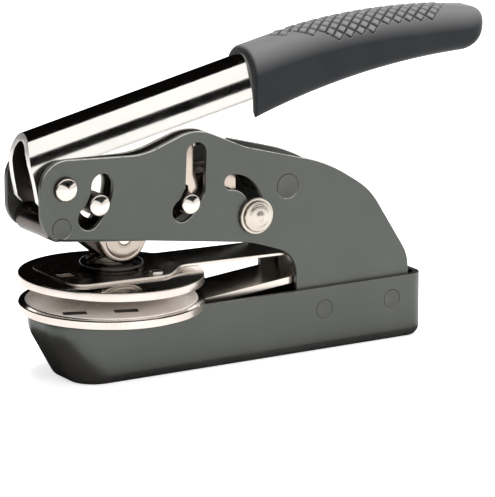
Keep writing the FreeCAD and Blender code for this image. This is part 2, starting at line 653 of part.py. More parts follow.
def build():
    left = side_plate(True)
    channel = handle_channel()
    cheek = link_cheek()
    wheel = roller()
    upper_disc = chamfered(drum(DISC_R, UPPER_DISC_TOP - DISC_T, UPPER_DISC_TOP), 0.25, full_circle)
    upper_disc = upper_disc.cut(disc_rivet_bars(UPPER_DISC_TOP - DISC_RIVET_DEPTH, BIG))
    sleeves = [rod(c, SLEEVE_R, -LINK_IN, LINK_IN).cut(rod(c, r, -BIG, BIG))
               for c, r in ((AXLE, AXLE_R + TURN_GAP), (FULCRUM, FULCRUM_R))]
    base_bars = [spacer(c, BASE_SPACER_R, BASE_TENON_R, TRAY_OUT) for c in BASE_SPACERS]
    return {
        "base_tray": base_tray(),
        "side_plate_left": left,
        "side_plate_right": mirrored(side_plate(False)),
        "front_spacer": spacer(FRONT_SPACER, FRONT_SPACER_R, FRONT_TENON_R, PLATE_OUT),
        "rear_spacer": spacer(REAR_SPACER, REAR_SPACER_R, REAR_TENON_R, PLATE_OUT),
        "base_spacers": Part.Compound(base_bars),
        "pivot_pin": domed_pin(PIVOT, PIVOT_R),
        "lock_pivot": lock_pivot(),
        "lower_arm": lower_arm(),
        "lower_disc": lower_disc(),
        "counter_die": counter_die(),
        "clip_block": clip_block(),
        "clip_rivets": Part.Compound([clip_rivet(x) for x in CLIP_RIVET_X]),
        "handle_channel": channel,
        "handle_grip": handle_grip(channel),
        "link_pin": domed_pin(LINK_PIN, LINK_PIN_R),
        "presser_link_left": cheek,
        "presser_link_right": mirrored(cheek),
        "link_sleeves": Part.Compound(sleeves),
        "fulcrum_pin": domed_pin(FULCRUM, FULCRUM_R),
        "roller_left": wheel,
        "roller_right": mirrored(wheel),
        "roller_axle": rod(AXLE, AXLE_R, -ROLLER_OUT, ROLLER_OUT),
        "upper_disc": tilted(upper_disc),
        "upper_arm": tilted(upper_arm()),
        "pressure_button": tilted(pressure_button()),
        "male_die": tilted(male_die()),
        "disc_rivets": tilted(disc_rivets()),
        "lock_knob": lock_knob(),
        "lock_lever": lock_lever(),
    }


def main():
    os.makedirs("parts", exist_ok=True)
    for name, shape in build().items():
        print(name, shape.isValid(), len(shape.Solids), round(shape.Volume, 1))
        shape.exportStep(f"parts/{name}.step")
    print("link_pin", LINK_PIN, "lock_stud", LOCK_STUD)
    for turn in (-PRESS_ANGLE, 0, LIFT_ANGLE):
        print(turn, "axle", link_point(AXLE, turn), "fulcrum", link_point(FULCRUM, turn))


main()
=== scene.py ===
"""Seal embosser: the visual model of a hand-held lever press for raised seals.

Lengths are in millimetres, apart from the studio's, which are in metres. Meshes are made in millimetres and
put into metres once, when a piece is placed.
+X runs along the machine to the end of the handle, +Z is up, and the left side is -Y.
"""

from __future__ import annotations

import logging
import math
from collections.abc import Callable, Iterable, Sequence
from dataclasses import dataclass, field, replace
from enum import Enum

import bmesh
import bpy
from mathutils import Matrix, Vector

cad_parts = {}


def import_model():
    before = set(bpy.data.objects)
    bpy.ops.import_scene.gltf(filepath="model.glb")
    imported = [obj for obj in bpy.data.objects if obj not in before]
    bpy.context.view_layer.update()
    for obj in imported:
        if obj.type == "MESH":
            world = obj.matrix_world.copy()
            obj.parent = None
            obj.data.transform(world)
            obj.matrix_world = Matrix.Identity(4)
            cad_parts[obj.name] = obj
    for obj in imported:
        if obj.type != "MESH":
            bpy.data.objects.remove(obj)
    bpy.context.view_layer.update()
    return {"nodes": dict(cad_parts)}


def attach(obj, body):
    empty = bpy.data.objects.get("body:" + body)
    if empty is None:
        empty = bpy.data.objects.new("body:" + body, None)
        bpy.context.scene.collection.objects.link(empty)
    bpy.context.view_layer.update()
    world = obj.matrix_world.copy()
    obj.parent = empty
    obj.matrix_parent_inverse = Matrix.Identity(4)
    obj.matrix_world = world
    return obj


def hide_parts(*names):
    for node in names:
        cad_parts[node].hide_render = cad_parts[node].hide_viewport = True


LOG = logging.getLogger("seal_embosser")

MM = 0.001
SHARP_ABOVE = math.radians(32)  # edges with a larger angle than this are sharp
FLAT_BELOW = math.radians(0.4)  # faces that turn less than this are one flat face
WELD = 1e-4  # points nearer to each other than this are one
STRAIGHT_SIDE = 0.1  # largest sideways part of the normal on a pin's straight side
RIM = "rim"  # marks the rounded faces of an edge
RELIEF = "relief"  # height of the grip's diamonds, from -1 to 1

SidePoint = tuple[float, float]
Triple = tuple[float, float, float]
ScreenColour = tuple[int, int, int]
Socket = bpy.types.NodeSocket

ORIGIN: Triple = (0.0, 0.0, 0.0)


class Body(Enum):
    """The rigid bodies that pieces ride on."""

    FRAME = "frame"
    HANDLE = "handle"
    LINK = "presser_link"
    ROLLER = "roller"
    UPPER_DIE = "upper_die"
    LOCK = "storage_lock"


class Axis(Enum):
    """The axis that a turned piece is spun about."""

    ACROSS = "y"
    UP = "z"


class Marks(Enum):
    """The tool marks left in a metal surface."""

    POLISHED = "polished"
    BRUSHED = "brushed"
    TURNED = "turned"


# ---------------------------------------------------------------- mesh tools


def soften(bm: bmesh.types.BMesh, width: float, segments: int = 2) -> None:
    """Round the sharp edges of a closed mesh, and mark the rounded faces.

    Args:
        bm: The mesh, in millimetres.
        width: Width of the rounding.
        segments: Number of faces across it.
    """
    rim = bm.faces.layers.float.get(RIM) or bm.faces.layers.float.new(RIM)
    sharp = [e for e in bm.edges if e.is_manifold and e.calc_face_angle(0.0) > SHARP_ABOVE]
    rounded = bmesh.ops.bevel(bm, geom=sharp, offset=width, offset_type="OFFSET", segments=segments,
                              profile=0.5, affect="EDGES", clamp_overlap=True, material=-1)
    for face in rounded["faces"]:
        face[rim] = 1.0


def arc_profile(centre: SidePoint, radius: float, start: float, end: float, steps: int) -> list[SidePoint]:
    """Points of an arc for a turned profile.

    Args:
        centre: The arc's centre, as (distance from the axis, place along it).
        radius: Its radius.
        start: Angle of its first point, in degrees from straight outwards.
        end: Angle of its last point.
        steps: Number of steps between them.

    Returns:
        The points in order.
    """
    angles = [math.radians(start + (end - start) * i / steps) for i in range(steps + 1)]
    return [(centre[0] + radius * math.cos(a), centre[1] + radius * math.sin(a)) for a in angles]


def mirrored_profile(half: Sequence[SidePoint]) -> list[SidePoint]:
    """A whole profile from its lower half, about the place 0."""
    return list(half) + [(r, -a) for r, a in reversed(half)]


def turned(profile: Sequence[SidePoint], axis: Axis, at: Triple, steps: int = 96) -> bmesh.types.BMesh:
    """Spin a profile into a closed turned piece.

    Args:
        profile: (distance from the axis, place along the axis) points, from the axis and back to it.
        axis: The axis of the piece.
        at: A point on the axis, from which the places along it are counted.
        steps: Steps round the full turn.

    Returns:
        The mesh, in millimetres.
    """
    bm = bmesh.new()
    along = Vector((0, 1, 0)) if axis is Axis.ACROSS else Vector((0, 0, 1))
    centre = Vector(at)
    verts = [bm.verts.new(centre + Vector((1, 0, 0)) * r + along * a) for r, a in profile]
    edges = [bm.edges.new(pair) for pair in zip(verts[:-1], verts[1:])]
    bmesh.ops.spin(bm, geom=verts + edges, cent=centre, axis=along, dvec=(0, 0, 0), angle=math.tau,
                   space=Matrix.Identity(4), steps=steps, use_merge=True, use_normal_flip=False,
                   use_duplicate=False)
    bmesh.ops.remove_doubles(bm, verts=bm.verts, dist=WELD)
    bmesh.ops.recalc_face_normals(bm, faces=bm.faces)
    return bm


def as_mesh(bm: bmesh.types.BMesh, name: str) -> bpy.types.Mesh:
    """Turn a working mesh, which is used up, into a named mesh.

    Args:
        bm: The working mesh.
        name: Name of the new mesh.

    Returns:
        The new mesh.
    """
    mesh = bpy.data.meshes.new(name)
    bm.to_mesh(mesh)
    bm.free()
    return mesh


def joined(parts: Iterable[bmesh.types.BMesh]) -> bmesh.types.BMesh:
    """Put several meshes, which are used up, into one.

    Args:
        parts: The meshes, in millimetres.

    Returns:
        The mesh that holds them all.
    """
    whole = bmesh.new()
    for part in parts:
        mesh = as_mesh(part, "part")
        whole.from_mesh(mesh)
        bpy.data.meshes.remove(mesh)
    return whole


def merged_copy(node: bpy.types.Object) -> bmesh.types.BMesh:
    """A welded copy of a CAD node, with its flat faces made whole.

    Args:
        node: The node, whose own mesh stays as it is.

    Returns:
        The copy, in millimetres.
    """
    bm = bmesh.new()
    bm.from_mesh(node.data)
    bmesh.ops.scale(bm, vec=(1 / MM, 1 / MM, 1 / MM), verts=bm.verts)
    bmesh.ops.remove_doubles(bm, verts=bm.verts, dist=WELD)
    bmesh.ops.dissolve_limit(bm, angle_limit=FLAT_BELOW, use_dissolve_boundaries=False,
                             verts=bm.verts, edges=bm.edges, delimit={"NORMAL"})
    return bm


def finish_faces(obj: bpy.types.Object, material: bpy.types.Material,
                 chosen: Callable[[bpy.types.MeshPolygon], bool]) -> None:
    """Give some faces of a finished piece a material of their own.

    Args:
        obj: The piece.
        material: The further material.
        chosen: Tells which faces get it.
    """
    obj.data.materials.append(material)
    index = len(obj.data.materials) - 1
    for face in obj.data.polygons:
        if chosen(face):
            face.material_index = index


# ---------------------------------------------------------------- shader effects


class NodeTree:
    """Short calls for adding and joining the nodes of one tree."""

    def __init__(self, tree: bpy.types.NodeTree) -> None:
        """Take the tree and empty it."""
        self.tree = tree
        tree.nodes.clear()

    def add(self, kind: str, inputs: dict[str | int, object] | None = None,
            **settings: object) -> bpy.types.Node:
        """Add a node.

        Args:
            kind: The node's Blender type, such as "ShaderNodeMix".
            inputs: Values, or sockets to join, by input name or number.
            **settings: Attributes of the node.

        Returns:
            The new node.
        """
        node = self.tree.nodes.new(kind)
        for name, value in settings.items():
            setattr(node, name, value)
        for key, value in (inputs or {}).items():
            if isinstance(value, Socket):
                self.tree.links.new(value, node.inputs[key])
            else:
                node.inputs[key].default_value = value
        return node

    def math(self, operation: str, *values: object) -> Socket:
        """Add a Math node and return its output."""
        return self.add("ShaderNodeMath", dict(enumerate(values)), operation=operation).outputs[0]

    def ramp(self, value: Socket, low: float, high: float, to_low: object = 0.0,
             to_high: object = 1.0) -> Socket:
        """Map a value from one range to another, held at its ends."""
        return self.add("ShaderNodeMapRange", {0: value, 1: low, 2: high, 3: to_low, 4: to_high}).outputs[0]

    def mixed(self, mask: Socket, first: object, second: object) -> Socket:
        """Mix two colours by a mask."""
        return self.add("ShaderNodeMix", {0: mask, 6: first, 7: second}, data_type="RGBA").outputs[2]

    def upward(self) -> Socket:
        """How far the surface faces up: the height of its normal."""
        normal = self.add("ShaderNodeNewGeometry").outputs["Normal"]
        return self.add("ShaderNodeSeparateXYZ", {0: normal}).outputs["Z"]


class EffectTree(NodeTree):
    """The node group of one shared effect, with the vector it is laid out by and its other inputs."""

    def __init__(self, name: str, output: str, kind: str = "NodeSocketFloat",
                 inputs: dict[str, object] | None = None) -> None:
        """Make an empty group with named sockets.

        Args:
            name: The group's name.
            output: Name of its one output.
            kind: Socket type of the output.
            inputs: Default of each input beside the vector: a number, a vector or a colour.
        """
        group = bpy.data.node_groups.new(name, "ShaderNodeTree")
        group.interface.new_socket(name="Vector", in_out="INPUT", socket_type="NodeSocketVector")
        for label, default in (inputs or {}).items():
            length = len(default) if isinstance(default, tuple) else 1
            socket_type = {1: "NodeSocketFloat", 3: "NodeSocketVector", 4: "NodeSocketColor"}[length]
            socket = group.interface.new_socket(name=label, in_out="INPUT", socket_type=socket_type)
            socket.default_value = default
        group.interface.new_socket(name=output, in_out="OUTPUT", socket_type=kind)
        super().__init__(group)
        self.given = self.add("NodeGroupInput").outputs
        self.out = self.add("NodeGroupOutput").inputs

    def noise(self, **values: object) -> Socket:
        """Noise over the group's vector, with its other values by name."""
        return self.add("ShaderNodeTexNoise", {"Vector": self.given["Vector"]} | values).outputs[0]

    def stretched(self, factors: object) -> Socket:
        """The group's vector, multiplied by a factor along each axis."""
        values = {0: self.given["Vector"], 1: factors}
        return self.add("ShaderNodeVectorMath", values, operation="MULTIPLY").outputs[0]

    def finished(self, result: Socket) -> bpy.types.NodeTree:
        """Join the result to the group's output and return the group."""
        self.tree.links.new(result, self.out[0])
        return self.tree


class Effects:
    """Surface effects that several materials share, each built once as a node group."""

    def __init__(self) -> None:
        """Build the groups."""
        self.tone = self._tone()
        self.smudge = self._smudge()
        self.hairlines = self._hairlines()
        self.rings = self._rings()
        self.grain = self._grain()
        self.wear_and_highlight = self._wear_and_highlight()

    @staticmethod
    def _tone() -> bpy.types.NodeTree:
        """Slow, slight change between two colours over a surface.

        Returns:
            The group.
        """
        grey = (0.5, 0.5, 0.5, 1.0)
        tree = EffectTree("tone", "Color", "NodeSocketColor", {"Scale": 60.0, "First": grey, "Second": grey})
        noise = tree.noise(Scale=tree.given["Scale"], Detail=4.0, Roughness=0.6)
        mask = tree.ramp(noise, 0.35, 0.65)
        return tree.finished(tree.mixed(mask, tree.given["First"], tree.given["Second"]))

    @staticmethod
    def _smudge() -> bpy.types.NodeTree:
        """Roughness that drifts between two values, with a few drier spots.

        Returns:
            The group.
        """
        tree = EffectTree("smudge", "Roughness", inputs={"Scale": 90.0, "Low": 0.1, "High": 0.2})
        noise = tree.noise(Scale=tree.given["Scale"], Detail=5.0, Roughness=0.65, Distortion=0.6)
        mask = tree.ramp(noise, 0.3, 0.72)
        return tree.finished(tree.ramp(mask, 0.0, 1.0, tree.given["Low"], tree.given["High"]))

    @staticmethod
    def _hairlines() -> bpy.types.NodeTree:
        """Fine straight scratches: noise drawn out along one direction by the Stretch vector.

        Returns:
            The group.
        """
        tree = EffectTree("hairlines", "Height", inputs={"Stretch": (1.0, 1.0, 1.0)})
        drawn = tree.stretched(tree.given["Stretch"])
        return tree.finished(tree.noise(Vector=drawn, Scale=1.0, Detail=3.0))

    @staticmethod
    def _rings() -> bpy.types.NodeTree:
        """Turning marks: rings about the Z axis of the vector that it is given.

        Returns:
            The group.
        """
        tree = EffectTree("rings", "Height", inputs={"Lines per metre": 4000.0})
        flat = tree.stretched((1.0, 1.0, 0.0))
        radius = tree.add("ShaderNodeVectorMath", {0: flat}, operation="LENGTH").outputs["Value"]
        count = tree.math("MULTIPLY", radius, tree.given["Lines per metre"])
        inputs = {"W": count, "Scale": 1.0, "Detail": 2.0}
        return tree.finished(tree.add("ShaderNodeTexNoise", inputs, noise_dimensions="1D").outputs[0])

    @staticmethod
    def _grain() -> bpy.types.NodeTree:
        """Even fine relief of paint or moulded rubber.

        Returns:
            The group.
        """
        tree = EffectTree("grain", "Height", inputs={"Scale": 2500.0})
        place = {"Vector": tree.given["Vector"], "Scale": tree.given["Scale"]}
        cells = tree.add("ShaderNodeTexVoronoi", place).outputs["Distance"]
        noise = tree.noise(Scale=tree.given["Scale"], Detail=2.0)
        return tree.finished(tree.math("ADD", tree.math("MULTIPLY", cells, 0.6), noise))

    @staticmethod
    def _wear_and_highlight() -> bpy.types.NodeTree:
        """Mask of the worn, rounded edges, broken up by noise, kept mostly to the upper ones: partly edge
        wear, partly a painted highlight where light catches the upper edges.

        Returns:
            The group.
        """
        tree = EffectTree("wear_and_highlight", "Mask", inputs={"Amount": 0.5})
        edge = tree.add("ShaderNodeAttribute", attribute_name=RIM).outputs["Fac"]
        broken = tree.ramp(tree.noise(Scale=700.0, Detail=3.0), 0.3, 0.5, 0.4, 1.0)
        # Painted highlight: the mask is kept mostly to edges that face up, where light catches them.
        upper = tree.math("MULTIPLY", edge, tree.ramp(tree.upward(), 0.2, 0.6, 0.05, 1.0))
        worn_highlight_mask = tree.math("MULTIPLY", upper, broken)
        return tree.finished(tree.math("MULTIPLY", worn_highlight_mask, tree.given["Amount"]))


# ---------------------------------------------------------------- finishes


def linear(screen: ScreenColour, gain: float = 1.0) -> tuple[float, float, float, float]:
    """A colour for a shader from its screen values, by the sRGB curve.

    Args:
        screen: Red, green and blue from 0 to 255.
        gain: Factor on the linear values.

    Returns:
        The linear colour, opaque.
    """
    parts = [v / 255 for v in screen]
    parts = [v / 12.92 if v <= 0.04045 else ((v + 0.055) / 1.055) ** 2.4 for v in parts]
    return (parts[0] * gain, parts[1] * gain, parts[2] * gain, 1.0)


class Surface(NodeTree):
    """A new material: a Principled shader, Object coordinates and the shared effects."""

    def __init__(self, name: str, effects: Effects) -> None:
        """Make the material with plain values.

        Args:
            name: The material's name.
            effects: The shared effects.
        """
        self.material = bpy.data.materials.new(name)
        self.material.use_nodes = True
        super().__init__(self.material.node_tree)
        self.effects = effects
        self.shader = self.add("ShaderNodeBsdfPrincipled")
        self.add("ShaderNodeOutputMaterial", {"Surface": self.shader.outputs["BSDF"]})
        self.place = self.add("ShaderNodeTexCoord").outputs["Object"]

    def feed(self, name: str, source: Socket) -> None:
        """Join a socket to an input of the shader."""
        self.tree.links.new(source, self.shader.inputs[name])

    def set(self, **values: object) -> None:
        """Set plain values on the shader, with underscores for the spaces in their names."""
        for name, value in values.items():
            self.shader.inputs[name.replace("_", " ")].default_value = value

    def effect(self, group: bpy.types.NodeTree, inputs: dict[str, object]) -> Socket:
        """Place a shared effect over Object coordinates with its own values, and return its output."""
        return self.add("ShaderNodeGroup", {"Vector": self.place} | inputs, node_tree=group).outputs[0]

    def tone(self, scale: float, first: object, second: object) -> Socket:
        """The base colour: two colours that drift into each other."""
        return self.effect(self.effects.tone, {"Scale": scale, "First": first, "Second": second})

    def roughness(self, scale: float, low: float, high: float) -> None:
        """Give the shader a roughness that drifts between two values."""
        self.feed("Roughness", self.effect(self.effects.smudge, {"Scale": scale, "Low": low, "High": high}))

    def relief(self, height: Socket, distance: float, strength: float = 1.0) -> None:
        """Give the shader a bump from a height; the distance is in millimetres."""
        inputs = {"Height": height, "Strength": strength, "Distance": distance * MM}
        self.feed("Normal", self.add("ShaderNodeBump", inputs).outputs[0])

    def centred(self, at: Triple, turn: Triple) -> Socket:
        """Object coordinates about a point.

        Args:
            at: The point that becomes the origin, in millimetres.
            turn: Turn of the pattern about each axis, in degrees.

        Returns:
            The mapped coordinates.
        """
        inputs = {"Vector": self.place, "Location": [v * MM for v in at],
                  "Rotation": [math.radians(v) for v in turn]}
        return self.add("ShaderNodeMapping", inputs, vector_type="TEXTURE").outputs[0]


@dataclass(frozen=True)
class Finish:
    """A finish that can be made into a material; each kind has its own look."""

    def dress(self, make: Surface) -> None:
        """Give a new material this look."""
        raise NotImplementedError

    def build(self, name: str, effects: Effects) -> bpy.types.Material:
        """Make the material.

        Args:
            name: The material's name.
            effects: The shared effects.

        Returns:
            The material.
        """
        make = Surface(name, effects)
        self.dress(make)
        return make.material


@dataclass(frozen=True)
class Paint(Finish):
    """Satin paint over folded sheet, rubbed thin along its edges, with a painted highlight along its upper
    edges.

    Attributes:
        first: Its main colour.
        second: The colour that it drifts towards.
        worn_highlight: Colour of the rubbed edges, pale enough to be a painted highlight on the upper ones.
        low: Lowest roughness.
        high: Highest roughness.
    """

    first: ScreenColour
    second: ScreenColour
    worn_highlight: ScreenColour
    low: float = 0.28
    high: float = 0.38

    def dress(self, make: Surface) -> None:
        """Give a new material this look.

        Args:
            make: The new material.
        """
        # Edge wear and a painted highlight along the upper edges: the worn colour is pale and kept mostly to
        # edges that face up.
        worn_highlight_mask = make.effect(make.effects.wear_and_highlight, {"Amount": 0.8})
        tone = make.tone(45.0, linear(self.first), linear(self.second))
        make.feed("Base Color", make.mixed(worn_highlight_mask, tone, linear(self.worn_highlight)))
        make.roughness(70.0, self.low, self.high)
        make.relief(make.effect(make.effects.grain, {"Scale": 3200.0}), 0.006, 0.5)
        make.set(Specular_IOR_Level=0.9, Specular_Tint=(0.9, 1.0, 0.92, 1.0))


@dataclass(frozen=True)
class Metal(Finish):
    """Bare or plated metal with its tool marks.

    Attributes:
        base: Its colour.
        tint: The colour that it drifts towards.
        low: Lowest roughness.
        high: Highest roughness.
        marks: The tool marks in it.
        stretch: For brushed and polished metal, the noise frequency along each axis, per metre.
        centre: For turned metal, a point on its axis, in millimetres.
        turn: For turned metal, the turn that lays its axis along Z, in degrees.
        depth: Depth of the marks, in millimetres.
    """

    base: ScreenColour
    tint: ScreenColour
    low: float
    high: float
    marks: Marks = Marks.POLISHED
    stretch: Triple = (900.0, 900.0, 900.0)
    centre: Triple = ORIGIN
    turn: Triple = ORIGIN
    depth: float = 0.004

    def about(self, centre: Triple, axis: Axis) -> Metal:
        """The same metal with turning marks about an axis through a point."""
        turn = (-90.0, 0.0, 0.0) if axis is Axis.ACROSS else ORIGIN
        return replace(self, marks=Marks.TURNED, centre=centre, turn=turn)

    def dress(self, make: Surface) -> None:
        """Give a new material this look.

        Args:
            make: The new material.
        """
        make.feed("Base Color", make.tone(55.0, linear(self.base), linear(self.tint)))
        make.roughness(110.0, self.low, self.high)
        if self.marks is Marks.TURNED:
            inputs = {"Vector": make.centred(self.centre, self.turn), "Lines per metre": 5200.0}
            make.relief(make.effect(make.effects.rings, inputs), self.depth)
        else:
            lines = make.effect(make.effects.hairlines, {"Stretch": self.stretch})
            faint = 1.0 if self.marks is Marks.BRUSHED else 0.5
            make.relief(lines, self.depth * faint, faint)
        make.set(Metallic=1.0)


@dataclass(frozen=True)
class Rubber(Finish):
    """Moulded rubber: even dark colour and fine pitting, with painted light: lighter faces that look up,
    painted highlights on the raised diamonds and painted shade in the grooves.

    Attributes:
        base: Its main colour, which drifts towards a lighter one.
        top_light: Colour of the faces that look up, a painted highlight from the light above.
        raised_highlight: Colour of the raised diamonds, a painted highlight.
        groove: Colour of the grooves between them, painted shade.
        low: Lowest roughness.
        high: Highest roughness.
        lighter: Gain from the main colour to the lighter one.
    """

    base: ScreenColour
    top_light: ScreenColour
    raised_highlight: ScreenColour
    groove: ScreenColour
    low: float = 0.5
    high: float = 0.62
    lighter: float = 1.25

    def dress(self, make: Surface) -> None:
        """Give a new material this look.

        Args:
            make: The new material.
        """
        tone = make.tone(80.0, linear(self.base), linear(self.base, self.lighter))
        # Painted highlight: faces that look up are lighter, as if lit from above.
        top_lit = make.mixed(make.ramp(make.upward(), 0.05, 0.85), tone, linear(self.top_light))
        height = make.add("ShaderNodeAttribute", attribute_name=RELIEF).outputs["Fac"]
        # A painted highlight on the raised diamonds and painted shade in the grooves.
        raised = make.mixed(make.ramp(height, 0.0, 1.0), top_lit, linear(self.raised_highlight))
        groove_shade_mask = make.ramp(height, -1.0, 0.0, 1.0, 0.0)
        make.feed("Base Color", make.mixed(groove_shade_mask, raised, linear(self.groove)))
        make.roughness(90.0, self.low, self.high)
        make.relief(make.effect(make.effects.grain, {"Scale": 4200.0}), 0.02, 0.6)
        make.set(Specular_IOR_Level=0.3, Sheen_Weight=0.45, Sheen_Roughness=0.35)


@dataclass(frozen=True)
class Plastic(Finish):
    """Smooth moulded plastic with faint rubbing marks.

    Attributes:
        base: Its main colour.
        tint: The colour that it drifts towards.
        low: Lowest roughness.
        high: Highest roughness.
    """

    base: ScreenColour
    tint: ScreenColour
    low: float = 0.18
    high: float = 0.3

    def dress(self, make: Surface) -> None:
        """Give a new material this look.

        Args:
            make: The new material.
        """
        make.feed("Base Color", make.tone(70.0, linear(self.base), linear(self.tint)))
        make.roughness(130.0, self.low, self.high)
        make.relief(make.effect(make.effects.hairlines, {"Stretch": (1500.0, 400.0, 1500.0)}), 0.003, 0.5)


FINISHES: dict[str, Finish] = {
    # The pale worn colours are edge wear and a painted highlight along the upper edges.
    "plate paint": Paint((56, 54, 52), (50, 48, 46), (196, 194, 190)),
    "tray paint": Paint((52, 50, 48), (46, 44, 43), (120, 118, 115)),
    "tenon paint": Paint((54, 50, 49), (48, 46, 45), (150, 150, 146), 0.3, 0.42),
    # A darker nickel, painted shade: on the pins' straight sides, inside the handle's channel and on the
    # walls of the dies' windows.
    "shade-painted nickel": Metal((98, 90, 86), (84, 76, 73), 0.3, 0.42),
    "spacer steel": Metal((104, 96, 92), (90, 82, 79), 0.22, 0.32),
    "channel nickel": Metal((246, 243, 238), (240, 237, 231), 0.07, 0.12, Marks.BRUSHED,
                            (25.0, 2600.0, 2600.0), depth=0.0015),
    "bright nickel": Metal((236, 229, 221), (226, 218, 208), 0.09, 0.16),
    "disc nickel": Metal((247, 242, 236), (238, 231, 225), 0.07, 0.12),
    "disc rim nickel": Metal((231, 221, 213), (218, 207, 198), 0.2, 0.28),
    "spring steel": Metal((228, 219, 210), (214, 205, 195), 0.2, 0.27, Marks.BRUSHED,
                          (60.0, 4200.0, 4200.0), depth=0.001),
    "link steel": Metal((84, 77, 72), (74, 67, 63), 0.22, 0.34, Marks.BRUSHED,
                        (1500.0, 2600.0, 90.0), depth=0.002),
    "roller nickel": Metal((190, 179, 168), (174, 163, 152), 0.12, 0.2),
    "button nickel": Metal((72, 68, 64), (62, 58, 55), 0.12, 0.2),
    # A pale, rough nickel: a painted highlight on the rim of the handle's mouth.
    "rim nickel": Metal((255, 253, 250), (250, 248, 245), 0.45, 0.6),
    "knob nickel": Metal((216, 208, 196), (180, 170, 158), 0.16, 0.24, depth=0.02),
    "leaf nickel": Metal((206, 192, 180), (192, 178, 166), 0.16, 0.24),
    "die brass": Metal((214, 204, 190), (200, 190, 176), 0.2, 0.32),
    "die plastic": Plastic((252, 244, 238), (247, 239, 232)),
    # The grip's up-facing and raised colours are painted highlights, its groove colour painted shade.
    "grip rubber": Rubber((19, 22, 24), (106, 105, 106), (116, 115, 116), (36, 37, 38)),
}


# ---------------------------------------------------------------- pieces


@dataclass(frozen=True)
class Piece:
    """One piece: the body it rides on, the CAD node it stands for, and its finish.

    Attributes:
        name: The piece's name.
        body: The body that it rides on.
        slot: Name of its material slot; not used.
        finish: Name of its finish.
        node: The CAD node that it stands for, or nothing where it stands for none.
    """

    name: str
    body: Body
    slot: str
    finish: str
    node: str = ""


@dataclass(frozen=True)
class Plates:
    """Half the distances across the two side plates, and how far the pins stand out of them."""

    inner: float = 8.7
    outer: float = 10.3
    pin_proud: float = 0.7


@dataclass(frozen=True)
class Dome:
    """The peened end of a pin: a shallow cone that turns down at its rim.

    Attributes:
        tilts: Slope of the surface in degrees, at parts of the radius from the axis outwards.
        steps: Steps from the rim to the axis.
    """

    tilts: tuple[tuple[float, float], ...] = (
        (0.0, 6.0), (0.18, 14.0), (0.86, 21.5), (0.93, 38.0), (0.97, 60.0), (1.0, 80.0))
    steps: int = 40

    def tilt(self, part: float) -> float:
        """The slope at a part of the radius, in degrees."""
        (p0, t0), (p1, t1) = next(pair for pair in zip(self.tilts[:-1], self.tilts[1:]) if part <= pair[1][0])
        return t0 + (t1 - t0) * (part - p0) / (p1 - p0)

    def pin(self, radius: float, half: float) -> list[SidePoint]:
        """Profile of a straight pin with a dome at each end.

        Args:
            radius: The pin's radius.
            half: Half its straight length.

        Returns:
            The turned profile.
        """
        upper = [(radius, half)]
        for i in range(self.steps - 1, -1, -1):
            tilt = self.tilt((i + 0.5) / self.steps)
            out = upper[-1][1] + radius / self.steps * math.tan(math.radians(tilt))
            upper.append((radius * i / self.steps, out))
        return [(r, -a) for r, a in reversed(upper)] + upper


PLATES = Plates()


def linked(name: str, data: bpy.types.ID) -> bpy.types.Object:
    """A new object for a mesh, lamp or camera, put into the scene.

    Args:
        name: The object's name.
        data: What it shows.

    Returns:
        The object.
    """
    obj = bpy.data.objects.new(name, data)
    bpy.context.scene.collection.objects.link(obj)
    return obj


class Workshop:
    """Puts finished meshes into the scene and keeps the materials."""

    def __init__(self, nodes: dict[str, bpy.types.Object]) -> None:
        """Take the frame and build the shared effects.

        Args:
            nodes: The frame's CAD nodes by name.
        """
        self.nodes = nodes
        self.effects = Effects()
        self.materials: dict[str, bpy.types.Material] = {}

    def material(self, name: str) -> bpy.types.Material:
        """The material of a finish, made at its first use.

        Args:
            name: The finish's name.

        Returns:
            The material.
        """
        if name not in self.materials:
            self.materials[name] = FINISHES[name].build(name, self.effects)
        return self.materials[name]

    def mark(self, name: str, centre: Triple, axis: Axis) -> None:
        """Make a metal's material with turning marks about an axis through a point."""
        self.materials[name] = FINISHES[name].about(centre, axis).build(name, self.effects)

    def place(self, piece: Piece, bm: bmesh.types.BMesh, sharp: float = SHARP_ABOVE) -> bpy.types.Object:
        """Turn a mesh in millimetres into a finished piece on its body.

        Args:
            piece: The piece.
            bm: Its mesh, which is used up.
            sharp: Edges with a larger angle than this stay sharp.

        Returns:
            The new object.
        """
        bmesh.ops.scale(bm, vec=(MM, MM, MM), verts=bm.verts)
        mesh = as_mesh(bm, piece.name)
        mesh.shade_smooth()
        mesh.set_sharp_from_angle(angle=sharp)
        mesh.materials.append(self.material(piece.finish))
        obj = linked(piece.name, mesh)
        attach(obj, piece.body.value)
        if piece.node:
            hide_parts(piece.node)
        LOG.info("%s: %d faces on %s", piece.name, len(mesh.polygons), piece.body.value)
        return obj

    def refine(self, piece: Piece, width: float, segments: int = 2) -> bpy.types.Object:
        """Replace a CAD node by a copy with rounded edges.

        Args:
            piece: The piece, whose node is the one copied.
            width: Width of the rounding, in millimetres.
            segments: Faces across the rounding.

        Returns:
            The new object.
        """
        bm = merged_copy(self.nodes[piece.node])
        soften(bm, width, segments)
        obj = self.place(piece, bm)
        weighted = obj.modifiers.new("even shading", "WEIGHTED_NORMAL")
        weighted.keep_sharp = True
        return obj

    def pin(self, piece: Piece, at: SidePoint, radius: float) -> None:
        """Place a domed pin that runs across both plates; its straight side gets a darker nickel, painted
        shade round its foot.

        Args:
            piece: The piece.
            at: The (x, z) of its axis.
            radius: Its radius.
        """
        bm = turned(Dome().pin(radius, PLATES.outer + PLATES.pin_proud), Axis.ACROSS, (at[0], 0.0, at[1]))
        obj = self.place(piece, bm)
        # Painted shade: the pin's straight side, round its foot, gets the darker nickel.
        finish_faces(obj, self.material("shade-painted nickel"), lambda face: abs(face.normal.y) < STRAIGHT_SIDE)


# ---------------------------------------------------------------- the standing frame


